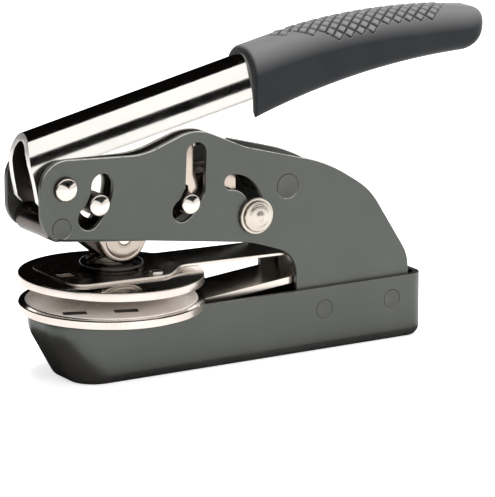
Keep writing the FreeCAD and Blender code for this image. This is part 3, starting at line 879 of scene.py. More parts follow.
@dataclass
class FrameAssembly:
    """The standing frame: folded tray, two side plates and the bars that join them."""

    tray_out: float = 11.9
    front_spacer: SidePoint = (-20.4, 44.0)
    rear_spacer: SidePoint = (49.1, 47.4)
    base_spacers: tuple[SidePoint, SidePoint] = ((60.0, 12.0), (82.0, 12.0))
    front_radii: tuple[float, float] = (3.8, 2.8)
    rear_radii: tuple[float, float] = (3.9, 3.4)
    base_radii: tuple[float, float] = (4.0, 2.6)
    painted_end: float = 1.0  # length of each riveted end that paint covers
    pivot: SidePoint = (-19.3, 54.6)
    pivot_radius: float = 3.2
    edge: float = 0.32

    def build(self, shop: Workshop) -> None:
        """Make every piece of the frame.

        Args:
            shop: The workshop that places them.
        """
        tray = Piece("base_tray_shell", Body.FRAME, "frame_paint", "tray paint", "base_tray")
        shop.refine(tray, self.edge, 3)
        for node in ("side_plate_left", "side_plate_right"):
            plate = Piece(f"{node}_sheet", Body.FRAME, "frame_paint", "plate paint", node)
            shop.refine(plate, self.edge, 3)
        self._spacer(shop, "front_spacer", (self.front_spacer,), self.front_radii, PLATES.outer)
        self._spacer(shop, "rear_spacer", (self.rear_spacer,), self.rear_radii, PLATES.outer)
        self._spacer(shop, "base_spacers", self.base_spacers, self.base_radii, self.tray_out)
        pin = Piece("pivot_pin_domed", Body.FRAME, "nickel", "bright nickel", "pivot_pin")
        shop.pin(pin, self.pivot, self.pivot_radius)

    def _spacer(self, shop: Workshop, node: str, places: Iterable[SidePoint], radii: tuple[float, float],
                reach: float) -> None:
        """Turned bars whose thinner ends are riveted into the plates.

        Args:
            shop: The workshop.
            node: The CAD node that they replace.
            places: The (x, z) of each bar.
            radii: Radius of the bar and of its ends.
            reach: Half the bar's whole length.
        """
        body, tenon = radii
        inner = PLATES.inner
        half = [(0.0, -reach + 0.12), (tenon - 0.85, -reach + 0.12), (tenon - 0.6, -reach + 0.02),
                (tenon - 0.12, -reach + 0.02), (tenon, -reach + 0.2), (tenon, -inner), (body - 0.3, -inner),
                (body, -inner + 0.3)]
        bars = joined(turned(mirrored_profile(half), Axis.ACROSS, (x, 0.0, z)) for x, z in places)
        obj = shop.place(Piece(f"{node}_bar", Body.FRAME, "nickel", "spacer steel", node), bars)
        finish_faces(obj, shop.material("tenon paint"),
                     lambda face: abs(face.center.y) > (reach - self.painted_end) * MM)


# ---------------------------------------------------------------- the handle


@dataclass(frozen=True)
class Ridge:
    """The channel's top line in side view: straight from its front, then a long bend."""

    start: SidePoint = (-26.2, 68.6)
    slope: float = 12.4
    bend_x: float = 48.0
    radius: float = 192.0

    def height(self, x: float, over: float = 0.0) -> float:
        """Height at x of the line moved square to itself.

        Args:
            x: Where along the handle.
            over: How far the line is moved outwards.

        Returns:
            The height.
        """
        slope = math.radians(self.slope)
        bend_z = self.start[1] + (self.bend_x - self.start[0]) * math.tan(slope)
        cx, cz = self.bend_x + self.radius * math.sin(slope), bend_z - self.radius * math.cos(slope)
        reach = self.radius + over
        turn_x = cx - reach * math.sin(slope)
        if x < turn_x:
            return cz + reach * math.cos(slope) - (turn_x - x) * math.tan(slope)
        return cz + math.sqrt(reach ** 2 - (x - cx) ** 2)


@dataclass(frozen=True)
class Arch:
    """One surface of the channel: a half ellipse on two straight walls, run along the ridge.

    Attributes:
        half: Half its width.
        rise: Height of the half ellipse.
        inset: Depth of the surface under the ridge.
        sign: 1 where it faces outwards and -1 where it faces inwards.
        ridge: The ridge.
        near_wall: Distance within which a point counts as on a wall.
        near_arch: Distance within which a point counts as on the ellipse.
    """

    half: float
    rise: float
    inset: float
    sign: float
    ridge: Ridge = Ridge()
    near_wall: float = 0.02
    near_arch: float = 0.06

    def normal(self, at: Vector) -> Vector | None:
        """The surface's normal at a point.

        Args:
            at: The point, in millimetres.

        Returns:
            The normal, or None away from the surface.
        """
        top = self.ridge.height(at.x, -self.inset)
        ahead, behind = (self.ridge.height(at.x + step, -self.inset) for step in (0.5, -0.5))
        up = at.z - top + self.rise
        if up <= 0.0:
            near = abs(abs(at.y) - self.half) < self.near_wall
            return Vector((0, math.copysign(self.sign, at.y * self.sign), 0)) if near else None
        slope = Vector((-(ahead - behind) * up / self.rise ** 2, at.y / self.half ** 2, up / self.rise ** 2))
        miss = (at.y / self.half) ** 2 + (up / self.rise) ** 2 - 1
        near = abs(miss) / (2 * slope.length) < self.near_arch
        return slope.normalized() * self.sign if near else None


@dataclass
class GripShape:
    """The rubber grip's form: sections across the handle from its front edge to its rounded end."""

    front: float = 40.5
    end: float = 116.0
    out: float = 8.1
    over: float = 1.7
    foot_start: float = 66.1
    foot_slope: float = 19.0
    foot_radius: float = 225.0
    ridge: Ridge = Ridge()
    foot_corner: tuple[float, float] = (8.6, 8.0)
    crown_corner: tuple[float, float] = (2.8, 2.4)
    side_corner: tuple[float, float] = (5.2, 4.6)
    lip: float = 0.7
    crown_share: float = 0.6
    crown_round: float = 0.93
    foot_share: float = 0.3

    def low(self, x: float) -> float:
        """Height of the underside at x.

        Args:
            x: Where along the handle.

        Returns:
            The height.
        """
        slope = math.radians(self.foot_slope)
        cx = self.front + self.foot_radius * math.sin(slope)
        cz = self.foot_start - self.foot_radius * math.cos(slope)
        return cz + math.sqrt(self.foot_radius ** 2 - (x - cx) ** 2)

    def closed_in(self, x: float, corner: tuple[float, float]) -> float:
        """How far an elliptical corner at the end has come in at x.

        Args:
            x: Where along the handle.
            corner: The corner's length along the handle and its depth.

        Returns:
            The distance.
        """
        reach, depth = corner
        past = min(max(0.0, 1 - (self.end - x) / reach), 1.0)
        return depth * (1 - math.sqrt(max(0.0, 1 - past ** 2)))

    def half_section(self, x: float) -> tuple[float, float, float, float, float]:
        """The section's sizes at x.

        Args:
            x: Where along the handle.

        Returns:
            Half width, foot height, crown height, foot radius and crown radius.
        """
        past = max(0.0, 1 - (x - self.front) / self.lip)
        lip = self.lip * (1 - math.sqrt(1 - min(1.0, past) ** 2))
        low = self.low(x) + self.closed_in(x, self.foot_corner) + lip
        high = self.ridge.height(x, self.over) - self.closed_in(x, self.crown_corner) - lip
        half = self.out - self.closed_in(x, self.side_corner) - lip
        crown = min(half, (high - low) * self.crown_share) * self.crown_round
        return half, low, high, min(half, high - low) * self.foot_share, crown

    def length(self, x: float) -> float:
        """Length round half the section at x."""
        half, low, high, foot, crown = self.half_section(x)
        return (half - crown) + (half - foot) + (high - low - crown - foot) + math.pi / 2 * (crown + foot)

    def point(self, x: float, s: float, rise: float) -> Vector:
        """The point at the distance s round the section from the middle of its crown.

        Args:
            x: Where the section is.
            s: Distance round it, negative on the left side.
            rise: Height of the relief there.

        Returns:
            The point.
        """
        half, low, high, foot, crown = self.half_section(x)
        top, side, arc = half - crown, high - low - crown - foot, math.pi / 2 * crown
        d = abs(s)
        if d <= top:
            y, z, ny, nz = d, high, 0.0, 1.0
        elif d <= top + arc:
            a = (d - top) / crown
            ny, nz = math.sin(a), math.cos(a)
            y, z = top + crown * ny, high - crown + crown * nz
        elif d <= top + arc + side:
            y, z, ny, nz = half, high - crown - (d - top - arc), 1.0, 0.0
        else:
            a = min((d - top - arc - side) / foot, math.pi / 2)
            ny, nz = math.cos(a), -math.sin(a)
            y, z = half - foot + foot * ny, low + foot + foot * nz
            y -= max(0.0, d - top - arc - side - math.pi / 2 * foot)
        return Vector((x, math.copysign(y + ny * rise, s), z + nz * rise))


@dataclass
class Knurl:
    """A field of raised diamonds over the grip's crown."""

    pitch_along: float = 3.6
    pitch_round: float = 3.2
    steps: int = 12
    height: float = 0.3
    depth: float = 0.25
    flank: tuple[float, float] = (0.1, 0.5)
    start: float = 49.2
    end: float = 107.2
    field_edge: tuple[SidePoint, ...] = (
        (50.0, 0.0), (53.0, 2.0), (57.0, 4.2), (61.0, 5.5), (64.0, 6.5), (67.6, 8.2), (77.0, 8.2),
        (91.0, 7.3), (99.0, 7.2), (103.0, 4.5), (106.5, 0.0))

    def reach(self, x: float) -> float:
        """Half width of the field at x.

        Args:
            x: Where along the handle.

        Returns:
            The half width, or less than 0 beyond the field's ends.
        """
        for (x0, r0), (x1, r1) in zip(self.field_edge[:-1], self.field_edge[1:]):
            if x0 <= x <= x1:
                return r0 + (r1 - r0) * (x - x0) / (x1 - x0)
        return -1.0

    def lift(self, x: float, s: float) -> float:
        """Relief of the field at a point of the grip.

        Args:
            x: Where along the handle.
            s: Distance round the grip from the middle of its crown.

        Returns:
            The relief, above 0 on a diamond and below 0 in a groove.
        """
        u = (x - self.start) / self.pitch_along + s / self.pitch_round
        v = (x - self.start) / self.pitch_along - s / self.pitch_round
        cell_u, cell_v = math.floor(u) + 0.5, math.floor(v) + 0.5
        middle_x = self.start + (cell_u + cell_v) / 2 * self.pitch_along
        middle_s = (cell_u - cell_v) / 2 * self.pitch_round
        spread = 1 / math.hypot(1 / self.pitch_along, 1 / self.pitch_round)
        edge = min(0.5 - abs(u - cell_u), 0.5 - abs(v - cell_v)) * spread
        if abs(middle_s) > self.reach(middle_x):
            return 0.0
        t = min(max((edge - self.flank[0]) / (self.flank[1] - self.flank[0]), 0.0), 1.0)
        return -self.depth + (self.height + self.depth) * t * t * (3 - 2 * t)


@dataclass
class HandleAssembly:
    """The lever: a folded nickel channel, its rubber grip and the pin of the presser link.

    Attributes:
        link_pin: The (x, z) of the pin that carries the presser link.
        link_pin_radius: Its radius.
        edge: Width of the channel's rounded edges.
        arches: The channel's outer and inner surface.
        alike: Smallest cosine between a face and an arch for the arch's own normal to be used.
        mouth_end: Where the channel's mouth ends.
        mouth_slope: How far forwards a face of the mouth's rim looks.
        shape: The grip's form.
        knurl: Its field of diamonds.
        rows_fine: Rows of points on each side of the crown, close enough for the diamonds.
        rows_round: Rows of points on each side from there to the underside.
        fine_end: Where along the handle the fine rows start to draw together.
        lip_turn: Degrees between the sections of the front lip.
        columns: Steps between the sections before the diamonds, behind them and round the end.
        weld: Points of the grip nearer to each other than this are one.
        sharp: Edges of the grip with a larger angle than this, in degrees, stay sharp.
    """

    link_pin: SidePoint = (-9.4294, 49.3074)
    link_pin_radius: float = 3.0
    edge: float = 0.3
    arches: tuple[Arch, Arch] = (Arch(6.9, 14.0, 0.0, 1.0), Arch(4.9, 12.0, 2.0, -1.0))
    alike: float = 0.94
    mouth_end: float = -20.0
    mouth_slope: float = -0.35
    shape: GripShape = field(default_factory=GripShape)
    knurl: Knurl = field(default_factory=Knurl)
    rows_fine: int = 38
    rows_round: int = 28
    fine_end: float = 108.0
    lip_turn: int = 15
    columns: tuple[int, int, int] = (8, 3, 22)
    weld: float = 1e-3
    sharp: float = 50.0

    def build(self, shop: Workshop) -> None:
        """Make every piece of the handle.

        Args:
            shop: The workshop that places them.
        """
        self._channel(shop)
        pin = Piece("link_pin_domed", Body.HANDLE, "nickel", "bright nickel", "link_pin")
        shop.pin(pin, self.link_pin, self.link_pin_radius)
        self._grip(shop)

    def _channel(self, shop: Workshop) -> None:
        """The folded channel, shaded by the arches' own normals, with painted shade inside and a painted
        highlight on its mouth's rim.

        Args:
            shop: The workshop.
        """
        bm = merged_copy(shop.nodes["handle_channel"])
        soften(bm, self.edge, 3)
        piece = Piece("handle_channel_folded", Body.HANDLE, "polished_nickel", "channel nickel",
                      "handle_channel")
        obj = shop.place(piece, bm)
        mesh = obj.data
        normals = [Vector(corner.vector) for corner in mesh.corner_normals]
        inside = set()
        for face in mesh.polygons:
            for loop in face.loop_indices:
                at = mesh.vertices[mesh.loops[loop].vertex_index].co / MM
                for arch in self.arches:
                    normal = arch.normal(at)
                    if normal is not None and normal.dot(face.normal) > self.alike:
                        normals[loop] = normal
                        if arch.sign < 0:
                            inside.add(face.index)
        # Painted shade: the channel's inside gets the darker nickel.
        finish_faces(obj, shop.material("shade-painted nickel"), lambda face: face.index in inside)
        # Painted highlight: the forward-facing faces of the mouth's rim get a pale nickel.
        finish_faces(obj, shop.material("rim nickel"),
                     lambda face: face.center.x < self.mouth_end * MM and face.normal.x < self.mouth_slope)
        mesh.normals_split_custom_set(normals)

    def _stations(self) -> list[float]:
        """Where the grip's sections stand along the handle.

        Returns:
            Their x, from the front edge to the end.
        """
        shape, knurl = self.shape, self.knurl
        before, behind, round_end = self.columns
        turns = [math.radians(a) for a in range(0, 90, self.lip_turn)]
        lip = [shape.front + shape.lip * (1 - math.cos(a)) for a in turns]
        plain = knurl.start - shape.front - shape.lip
        front = [shape.front + shape.lip + plain * i / before for i in range(before)]
        step = knurl.pitch_along / knurl.steps
        fine = [knurl.start + step * i for i in range(int((knurl.end - knurl.start) / step) + 1)]
        reach = shape.foot_corner[0]
        first = shape.end - reach
        rear = [fine[-1] + (first - fine[-1]) * i / behind for i in range(1, behind)]
        turns = [math.radians(90 * i / round_end) for i in range(round_end + 1)]
        end = [shape.end - reach * (1 - math.sin(a)) for a in turns]
        return lip + front + fine + rear + end

    def _round(self, row: int, length: float, needed: float) -> float:
        """Distance of a row of points round the grip, from the middle of its crown.

        Args:
            row: Number of the row, negative on the left side.
            length: Length round half the section.
            needed: Length round the shortest half section that the fine rows fit at their full width.

        Returns:
            The distance, negative on the left side.
        """
        wide = self.rows_fine * (self.knurl.pitch_round / self.knurl.steps)
        fine = wide * min(1.0, length / needed)
        k = abs(row)
        if k <= self.rows_fine:
            return math.copysign(fine * k / self.rows_fine, row)
        return math.copysign(fine + (length - fine) * (k - self.rows_fine) / self.rows_round, row)

    def _grip(self, shop: Workshop) -> None:
        """The rubber grip with its field of diamonds: a grid bent round the handle and closed.

        Args:
            shop: The workshop.
        """
        shape, knurl = self.shape, self.knurl
        stations = self._stations()
        needed = min(shape.length(x) for x in stations if x < self.fine_end)
        half_rows = self.rows_fine + self.rows_round
        columns, rows = len(stations) - 1, 2 * half_rows
        bm = bmesh.new()
        relief = bm.verts.layers.float.new(RELIEF)
        bmesh.ops.create_grid(bm, x_segments=columns, y_segments=rows, size=1.0)
        for vert in bm.verts:
            x = stations[round((vert.co.x + 1) / 2 * columns)]
            row = round((vert.co.y + 1) / 2 * rows) - half_rows
            s = self._round(row, shape.length(x), needed)
            lift = knurl.lift(x, s)
            vert.co = shape.point(x, s, lift)
            vert[relief] = lift / (knurl.height if lift > 0 else knurl.depth)
        bmesh.ops.remove_doubles(bm, verts=bm.verts, dist=self.weld)
        bmesh.ops.holes_fill(bm, edges=[e for e in bm.edges if e.is_boundary], sides=0)
        bmesh.ops.recalc_face_normals(bm, faces=bm.faces)
        piece = Piece("handle_grip_moulded", Body.HANDLE, "grip_rubber", "grip rubber", "handle_grip")
        shop.place(piece, bm, math.radians(self.sharp))


# ---------------------------------------------------------------- the presser link


@dataclass
class PresserAssembly:
    """The presser link between the plates, with its two rollers."""

    axle: SidePoint = (0.5, 38.6)
    axle_radius: float = 2.2
    axle_proud: float = 0.05
    fulcrum: SidePoint = (18.3, 46.3)
    fulcrum_radius: float = 2.8
    roller_radius: float = 7.1
    roller_in: float = 4.5
    roller_out: float = 6.6
    roller_edge: float = 0.1
    edge: float = 0.2
    leaf_at: tuple[float, float] = (7.0, 7.3)  # how far out its two faces stand
    leaf_edge: float = 0.08
    leaf: tuple[SidePoint, ...] = (
        (16.8, 52.2), (19.6, 50.4), (19.6, 45.8), (22.4, 45.8), (25.5, 46.2), (27.5, 47.0), (34.4, 47.0),
        (34.4, 52.9), (22.6, 52.9), (21.3, 54.2), (21.3, 62.4), (16.8, 62.4))

    def build(self, shop: Workshop) -> None:
        """Make every piece of the presser link and the rollers.

        Args:
            shop: The workshop that places them.
        """
        for node in ("presser_link_left", "presser_link_right"):
            shop.refine(Piece(f"{node}_cheek", Body.LINK, "steel", "link steel", node), self.edge)
        shop.refine(Piece("link_sleeves_turned", Body.LINK, "steel", "link steel", "link_sleeves"), self.edge)
        pin = Piece("fulcrum_pin_domed", Body.LINK, "nickel", "bright nickel", "fulcrum_pin")
        shop.pin(pin, self.fulcrum, self.fulcrum_radius)
        sides = (("left", -1.0), ("right", 1.0))
        for side, sign in sides:
            leaf = Piece(f"link_leaf_{side}_strip", Body.LINK, "nickel", "leaf nickel")
            shop.place(leaf, self._leaf(sign))
        at = (self.axle[0], 0.0, self.axle[1])
        shop.mark("roller nickel", at, Axis.ACROSS)
        for side, sign in sides:
            bm = turned(self._roller(sign), Axis.ACROSS, at)
            soften(bm, self.roller_edge)
            node = f"roller_{side}"
            shop.place(Piece(f"{node}_turned", Body.ROLLER, "nickel", "roller nickel", node), bm)
        out, r = self.roller_out + self.axle_proud, self.axle_radius
        half = [(0.0, -out + 0.18), (0.9, -out + 0.18), (1.05, -out + 0.02), (r - 0.25, -out + 0.02),
                (r - 0.05, -out + 0.2)]
        axle = turned(mirrored_profile(half), Axis.ACROSS, at, 64)
        shop.place(Piece("roller_axle_turned", Body.ROLLER, "nickel", "bright nickel", "roller_axle"), axle)

    def _leaf(self, sign: float) -> bmesh.types.BMesh:
        """A thin bright leaf on the fulcrum pin, seen through the plate's slots.

        Args:
            sign: -1 for the left leaf and 1 for the right one.

        Returns:
            The mesh, in millimetres.
        """
        bm = bmesh.new()
        inner, outer = sign * self.leaf_at[0], sign * self.leaf_at[1]
        face = bm.faces.new([bm.verts.new((x, inner, z)) for x, z in self.leaf])
        grown = bmesh.ops.extrude_face_region(bm, geom=[face], use_keep_orig=True)
        moved = [item for item in grown["geom"] if isinstance(item, bmesh.types.BMVert)]
        bmesh.ops.translate(bm, verts=moved, vec=(0.0, outer - inner, 0.0))
        bmesh.ops.recalc_face_normals(bm, faces=bm.faces)
        soften(bm, self.leaf_edge)
        return bm

    def _roller(self, sign: float) -> list[SidePoint]:
        """Profile of a roller: a raised face inside a rounded rim.

        Args:
            sign: -1 for the left roller and 1 for the right one.

        Returns:
            The turned profile.
        """
        bore, face, rim = self.axle_radius - 0.1, self.roller_radius - 1.5, self.roller_radius
        out, inner = self.roller_out, self.roller_in
        profile = [(bore, inner), (bore, out - 0.1), (bore + 0.25, out), (face, out), (face + 0.1, out - 0.3),
                   (face + 0.3, out - 0.3)]
        profile += arc_profile((rim - 0.7, out - 1.0), 0.7, 90, 0, 5)
        profile += [(rim, inner + 0.25), (rim - 0.25, inner), (bore, inner)]
        return [(r, sign * a) for r, a in profile]


# ---------------------------------------------------------------- the die clip


@dataclass
class DieClip:
    """The removable die clip: two discs on two thin arms, riveted together at the rear."""

    disc_radius: float = 25.0
    disc_t: float = 2.4
    upper_top: float = 27.9
    arm_t: float = 0.9
    tilt: float = 1.2
    male_radii: tuple[float, float] = (20.6, 16.0)
    male_depths: tuple[float, float] = (1.0, 2.3)
    window_reach: float = 21.0  # walls nearer to the axis than this are the windows'
    wall_slope: float = 0.6  # largest upward part of a wall's normal
    button_radius: float = 8.6
    button_height: float = 2.4
    rivet: SidePoint = (7.9, 9.9)
    rivet_radius: float = 2.1
    edge: float = 0.2

    def build(self, shop: Workshop) -> None:
        """Make every piece of the clip.

        Args:
            shop: The workshop that places them.
        """
        shop.refine(Piece("lower_arm_strip", Body.FRAME, "steel", "spring steel", "lower_arm"), self.edge)
        dish = Piece("lower_disc_dish", Body.FRAME, "nickel", "disc nickel", "lower_disc")
        self._trim(shop, shop.refine(dish, self.edge, 3))
        counter = Piece("counter_die_face", Body.FRAME, "counter_plastic", "die plastic", "counter_die")
        self._trim(shop, shop.refine(counter, self.edge))
        shop.refine(Piece("clip_block_wedge", Body.FRAME, "steel", "spring steel", "clip_block"), self.edge)
        shop.refine(Piece("clip_rivets_pair", Body.FRAME, "steel", "spring steel", "clip_rivets"), self.edge)
        arm = Piece("upper_arm_strip", Body.UPPER_DIE, "steel", "spring steel", "upper_arm")
        shop.refine(arm, self.edge, 3)
        self._upper_disc(shop)
        self._male_die(shop)
        self._button(shop)
        self._disc_rivets(shop)

    def _trim(self, shop: Workshop, obj: bpy.types.Object) -> None:
        """Give a disc's rim a finish of its own, and the walls of its windows a darker nickel, which is
        painted shade.

        Args:
            shop: The workshop.
            obj: The finished piece.
        """
        def wall(face: bpy.types.MeshPolygon, inside: bool) -> bool:
            """Whether a face is a steep wall within the windows' reach, or one outside it."""
            near = face.center.to_2d().length < self.window_reach * MM
            return abs(face.normal.z) < self.wall_slope and near == inside

        # Painted shade on the walls of the windows.
        finish_faces(obj, shop.material("shade-painted nickel"), lambda face: wall(face, True))
        finish_faces(obj, shop.material("disc rim nickel"), lambda face: wall(face, False))

    def _lean(self, bm: bmesh.types.BMesh) -> bmesh.types.BMesh:
        """Lean a piece of the upper half about the die axis, front end up.

        Args:
            bm: Its mesh, in millimetres.

        Returns:
            The same mesh.
        """
        matrix = Matrix.Rotation(math.radians(self.tilt), 3, "Y")
        bmesh.ops.rotate(bm, verts=bm.verts, cent=(0, 0, self.upper_top), matrix=matrix)
        return bm

    def _upper_disc(self, shop: Workshop) -> None:
        """The upper disc, with a turned rim.

        Args:
            shop: The workshop.
        """
        r, top, low = self.disc_radius, self.upper_top, self.upper_top - self.disc_t
        profile = [(0.0, low), (r - 0.3, low)] + arc_profile((r - 0.3, low + 0.3), 0.3, -90, 0, 3)
        profile += arc_profile((r - 0.35, top - 0.35), 0.35, 0, 90, 4) + [(0.0, top)]
        piece = Piece("upper_disc_turned", Body.UPPER_DIE, "nickel", "disc nickel", "upper_disc")
        self._trim(shop, shop.place(piece, self._lean(turned(profile, Axis.UP, ORIGIN, 144))))

    def _male_die(self, shop: Workshop) -> None:
        """The plain male die with its raised middle.

        Args:
            shop: The workshop.
        """
        z = self.upper_top - self.disc_t
        (wide, middle), (step, face) = self.male_radii, self.male_depths
        profile = [(0.0, z - face), (middle - 0.35, z - face), (middle, z - face + 0.35), (middle, z - step),
                   (wide - 0.3, z - step), (wide, z - step + 0.3), (wide, z), (0.0, z)]
        piece = Piece("male_die_plain", Body.UPPER_DIE, "die_brass", "die brass", "male_die")
        shop.place(piece, self._lean(turned(profile, Axis.UP, ORIGIN, 128)))

    def _button(self, shop: Workshop) -> None:
        """The stepped button that the rollers press on.

        Args:
            shop: The workshop.
        """
        r, z = self.button_radius, self.upper_top + self.arm_t
        top = z + self.button_height
        profile = [(0.0, z), (r - 0.15, z), (r, z + 0.15), (r, z + 0.75), (r - 0.35, z + 0.95),
                   (r - 0.35, z + 1.1), (r, z + 1.25)]
        profile += arc_profile((r - 0.8, top - 0.8), 0.8, 0, 90, 6)
        profile += [(r - 1.7, top), (r - 1.85, top - 0.18), (r - 2.2, top - 0.18), (r - 2.35, top)]
        profile += [(r - 4.6, top), (r - 4.75, top - 0.12), (r - 5.1, top - 0.12), (r - 5.25, top)]
        profile += [(0.0, top)]
        shop.mark("button nickel", ORIGIN, Axis.UP)
        piece = Piece("pressure_button_turned", Body.UPPER_DIE, "nickel", "button nickel", "pressure_button")
        shop.place(piece, self._lean(turned(profile, Axis.UP, ORIGIN)))

    def _disc_rivets(self, shop: Workshop) -> None:
        """Two small domed rivets through the arm and the disc.

        Args:
            shop: The workshop.
        """
        seat, r = self.upper_top + self.arm_t, self.rivet_radius
        x, y = self.rivet
        profile = [(0.0, seat - 0.6), (r - 0.3, seat - 0.6), (r - 0.3, seat), (r, seat)]
        profile += arc_profile((r - 0.75, seat + 0.05), 0.75, 0, 90, 6) + [(0.0, seat + 0.85)]
        rivets = joined(turned(profile, Axis.UP, (x, sign * y, 0.0), 40) for sign in (-1.0, 1.0))
        piece = Piece("disc_rivets_domed", Body.UPPER_DIE, "nickel", "bright nickel", "disc_rivets")
        shop.place(piece, self._lean(rivets))


# ---------------------------------------------------------------- the storage lock


@dataclass
class StorageLock:
    """The latch that holds the handle down: a knob on a short lever inside the left plate."""

    stud: SidePoint = (38.70, 40.61)
    stud_radius: float = 1.9
    flange_radius: float = 5.1
    head_radius: float = 4.3
    head_height: float = 3.2
    head_cone: float = 0.3
    rings: tuple[SidePoint, ...] = (
        (0.0, 0.0), (1.0, 0.0), (1.08, 0.03), (1.92, 0.03), (2.0, 0.0), (3.0, 0.0), (3.08, 0.03), (3.6, 0.03))
    edge: float = 0.15

    def build(self, shop: Workshop) -> None:
        """Make every piece of the lock.

        Args:
            shop: The workshop that places them.
        """
        shop.refine(Piece("lock_lever_strip", Body.LOCK, "steel", "link steel", "lock_lever"), self.edge)
        shop.refine(Piece("lock_pivot_stub", Body.FRAME, "steel", "link steel", "lock_pivot"), self.edge)
        at = (self.stud[0], 0.0, self.stud[1])
        shop.mark("knob nickel", at, Axis.ACROSS)
        knob = turned(self._knob(), Axis.ACROSS, at)
        shop.place(Piece("lock_knob_turned", Body.LOCK, "nickel", "knob nickel", "lock_knob"), knob)

    def _knob(self) -> list[SidePoint]:
        """Profile of the knob: a ringed, slightly coned head on a flange, and its stud.

        Returns:
            The turned profile.
        """
        out, flange, head, stud = PLATES.outer, self.flange_radius, self.head_radius, self.stud_radius
        end = -PLATES.inner + 1.3
        profile = [(r, -out - self.head_height + self.head_cone * r + deep) for r, deep in self.rings]
        profile += arc_profile((head - 0.5, -out - 1.6), 0.5, -70, 0, 4)
        profile += [(head, -out - 1.55), (head - 0.2, -out - 1.4), (head - 0.7, -out - 1.4),
                    (head - 0.7, -out - 1.2)]
        profile += arc_profile((flange - 0.35, -out - 0.85), 0.35, -90, 0, 3)
        profile += [(flange, -out - 0.45), (flange - 0.15, -out - 0.3)]
        return profile + [(stud, -out - 0.3), (stud, end), (0.0, end)]


# ---------------------------------------------------------------- studio


@dataclass(frozen=True)
class Lamp:
    """A rectangular lamp, in metres and watts."""

    name: str
    place: Triple
    size: tuple[float, float]
    power: float


@dataclass(frozen=True)
class Card:
    """A flat rectangle between two opposite corners, level or upright, in metres."""

    name: str
    low: Triple
    high: Triple

    def stand(self, material: bpy.types.Material) -> bpy.types.Object:
        """Put it into the scene.

        Args:
            material: Its material.

        Returns:
            The new object.
        """
        low, high = Vector(self.low), Vector(self.high)
        across = next(axis for axis in range(3) if low[axis] != high[axis])
        second, fourth = low.copy(), high.copy()
        second[across], fourth[across] = high[across], low[across]
        bm = bmesh.new()
        bm.faces.new([bm.verts.new(corner) for corner in (low, second, high, fourth)])
        mesh = as_mesh(bm, self.name)
        mesh.materials.append(material)
        obj = linked(self.name, mesh)
        return obj


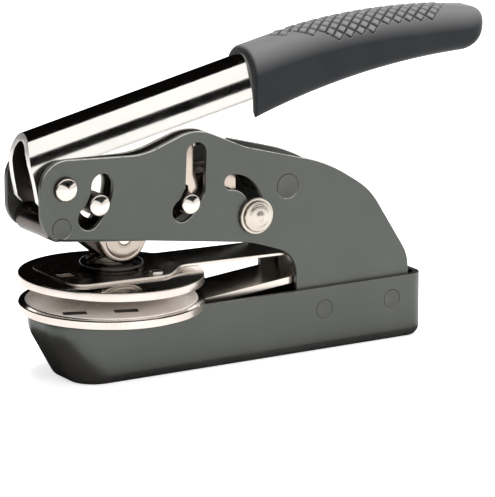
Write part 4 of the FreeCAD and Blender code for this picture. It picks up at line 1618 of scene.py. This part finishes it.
@dataclass
class Studio:
    """Floor, world, lamps, dark cards and camera, in metres.

    Attributes:
        look_at: The point that the camera looks at.
        back: Direction from there to the camera.
        distance: Distance between them.
        lens: Focal length, in millimetres.
        sensor: Width and height of the sensor, in millimetres.
        lit: Strength of the white world as a light.
        seen: Its strength where it is looked at or mirrored.
        floor: The floor.
        floor_white: Its lightness.
        floor_glow: Its own light, for the camera alone.
        lamps: The lamps, which mirrored rays don't see.
        lamp_target: The point that they face.
        cards: The dark cards, which only mirrored rays see: a low one in front, a hood from above to the rear
            and to the front end, and a small one just over the floor beneath the object, a painted shadow
            that darkens the floor where the metal mirrors it.
        card_black: The cards' colour.
    """

    look_at: Triple = (0.04257, 0.0, 0.02872)
    back: Triple = (-0.504, -0.830, 0.238)
    distance: float = 1.0736
    lens: float = 285.49
    sensor: float = 36.0
    lit: float = 0.3
    seen: float = 1.12
    floor: Card = Card("floor", (-3.0, -3.0, 0.0), (3.0, 3.0, 0.0))
    floor_white: float = 0.9
    floor_glow: float = 0.66
    lamps: tuple[Lamp, ...] = (
        Lamp("overhead", (0.1, 0.0, 0.9), (0.8, 0.5), 11.0),
        Lamp("side", (0.3, -1.25, 0.42), (1.2, 0.6), 12.0))
    lamp_target: Triple = (0.04, 0.0, 0.04)
    cards: tuple[Card, ...] = (
        Card("low_card", (-2.0, -0.5, 0.171), (2.0, -0.5, 0.323)),
        Card("top_card", (-1.6, -0.45, 1.0), (2.4, 1.6, 1.0)),
        Card("rear_card", (-1.6, 1.6, 0.001), (2.4, 1.6, 1.0)),
        Card("end_card", (-1.6, -0.82, 0.001), (-1.6, 1.6, 1.0)),
        # Painted shadow: a black sheet on the floor beneath the object, seen only in reflections.
        Card("floor_shadow_card", (-0.05, -0.02, 4e-4), (0.1, 0.04, 4e-4)))
    card_black: Triple = (0.003, 0.0027, 0.0025)

    def build(self) -> None:
        """Make the whole studio."""
        self._world()
        self._floor()
        self._lamps()
        self._cards()
        self._camera()
        bpy.context.scene.view_settings.view_transform = "Standard"

    @staticmethod
    def _material(name: str) -> tuple[bpy.types.Material, NodeTree]:
        """A new material for the stage.

        Args:
            name: Its name.

        Returns:
            The material and its empty tree.
        """
        material = bpy.data.materials.new(name)
        material.use_nodes = True
        return material, NodeTree(material.node_tree)

    def _world(self) -> None:
        """A white world to look at and to mirror, and a plain one to be lit by."""
        world = bpy.data.worlds.new("studio")
        world.use_nodes = True
        bpy.context.scene.world = world
        nodes = NodeTree(world.node_tree)
        path = nodes.add("ShaderNodeLightPath").outputs
        looked_at = nodes.math("MAXIMUM", path["Is Camera Ray"], path["Is Glossy Ray"])
        looked_at = nodes.math("MAXIMUM", looked_at, path["Is Transmission Ray"])
        strength = nodes.ramp(looked_at, 0.0, 1.0, self.lit, self.seen)
        shader = nodes.add("ShaderNodeBackground", {"Color": (1.0, 1.0, 1.0, 1.0), "Strength": strength})
        nodes.add("ShaderNodeOutputWorld", {"Surface": shader.outputs[0]})

    def _floor(self) -> None:
        """A white floor that keeps a soft shadow."""
        material, nodes = self._material("floor")
        seen = nodes.add("ShaderNodeLightPath").outputs["Is Camera Ray"]
        white = (self.floor_white, self.floor_white, self.floor_white, 1.0)
        plain = nodes.add("ShaderNodeBsdfDiffuse", {"Color": white}).outputs[0]
        glow = nodes.add("ShaderNodeEmission", {"Color": (1.0, 1.0, 1.0, 1.0), "Strength": self.floor_glow})
        both = nodes.add("ShaderNodeAddShader", {0: plain, 1: glow.outputs[0]}).outputs[0]
        mix = nodes.add("ShaderNodeMixShader", {0: seen, 1: plain, 2: both})
        nodes.add("ShaderNodeOutputMaterial", {"Surface": mix.outputs[0]})
        self.floor.stand(material)

    @staticmethod
    def _aim(obj: bpy.types.Object, place: Sequence[float], target: Sequence[float]) -> None:
        """Put an object somewhere and point its -Z axis at a target."""
        obj.location = place
        obj.rotation_euler = (Vector(target) - Vector(place)).to_track_quat("-Z", "Y").to_euler()

    def _lamps(self) -> None:
        """An overhead softbox and a broad one from the left side, neither mirrored in the metal."""
        for lamp in self.lamps:
            data = bpy.data.lights.new(lamp.name, "AREA")
            data.shape = "RECTANGLE"
            data.size, data.size_y = lamp.size
            data.energy = lamp.power
            obj = linked(lamp.name, data)
            obj.visible_glossy = False
            self._aim(obj, lamp.place, self.lamp_target)

    def _cards(self) -> None:
        """The dark cards, hidden from every ray but a mirrored one."""
        material, nodes = self._material("flag")
        black = nodes.add("ShaderNodeEmission", {"Color": (*self.card_black, 1.0), "Strength": 1.0})
        nodes.add("ShaderNodeOutputMaterial", {"Surface": black.outputs[0]})
        for card in self.cards:
            obj = card.stand(material)
            obj.visible_camera = False
            obj.visible_diffuse = False
            obj.visible_shadow = False
            obj.visible_transmission = False

    def _camera(self) -> None:
        """A long lens at the left front, a little above the frame."""
        data = bpy.data.cameras.new("camera")
        data.sensor_width = self.sensor
        data.sensor_height = self.sensor
        data.lens = self.lens
        obj = linked("camera", data)
        back = Vector(self.back).normalized()
        self._aim(obj, Vector(self.look_at) + back * self.distance, self.look_at)
        bpy.context.scene.camera = obj


def main() -> None:
    """Build the embosser around the loaded frame, and the studio round it."""
    logging.basicConfig(level=logging.INFO, format="%(message)s")
    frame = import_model()
    shop = Workshop(frame["nodes"])
    for assembly in (FrameAssembly(), HandleAssembly(), PresserAssembly(), DieClip(), StorageLock()):
        assembly.build(shop)
    Studio().build()
    bpy.context.view_layer.update()


if __name__ == "__main__":
    main()
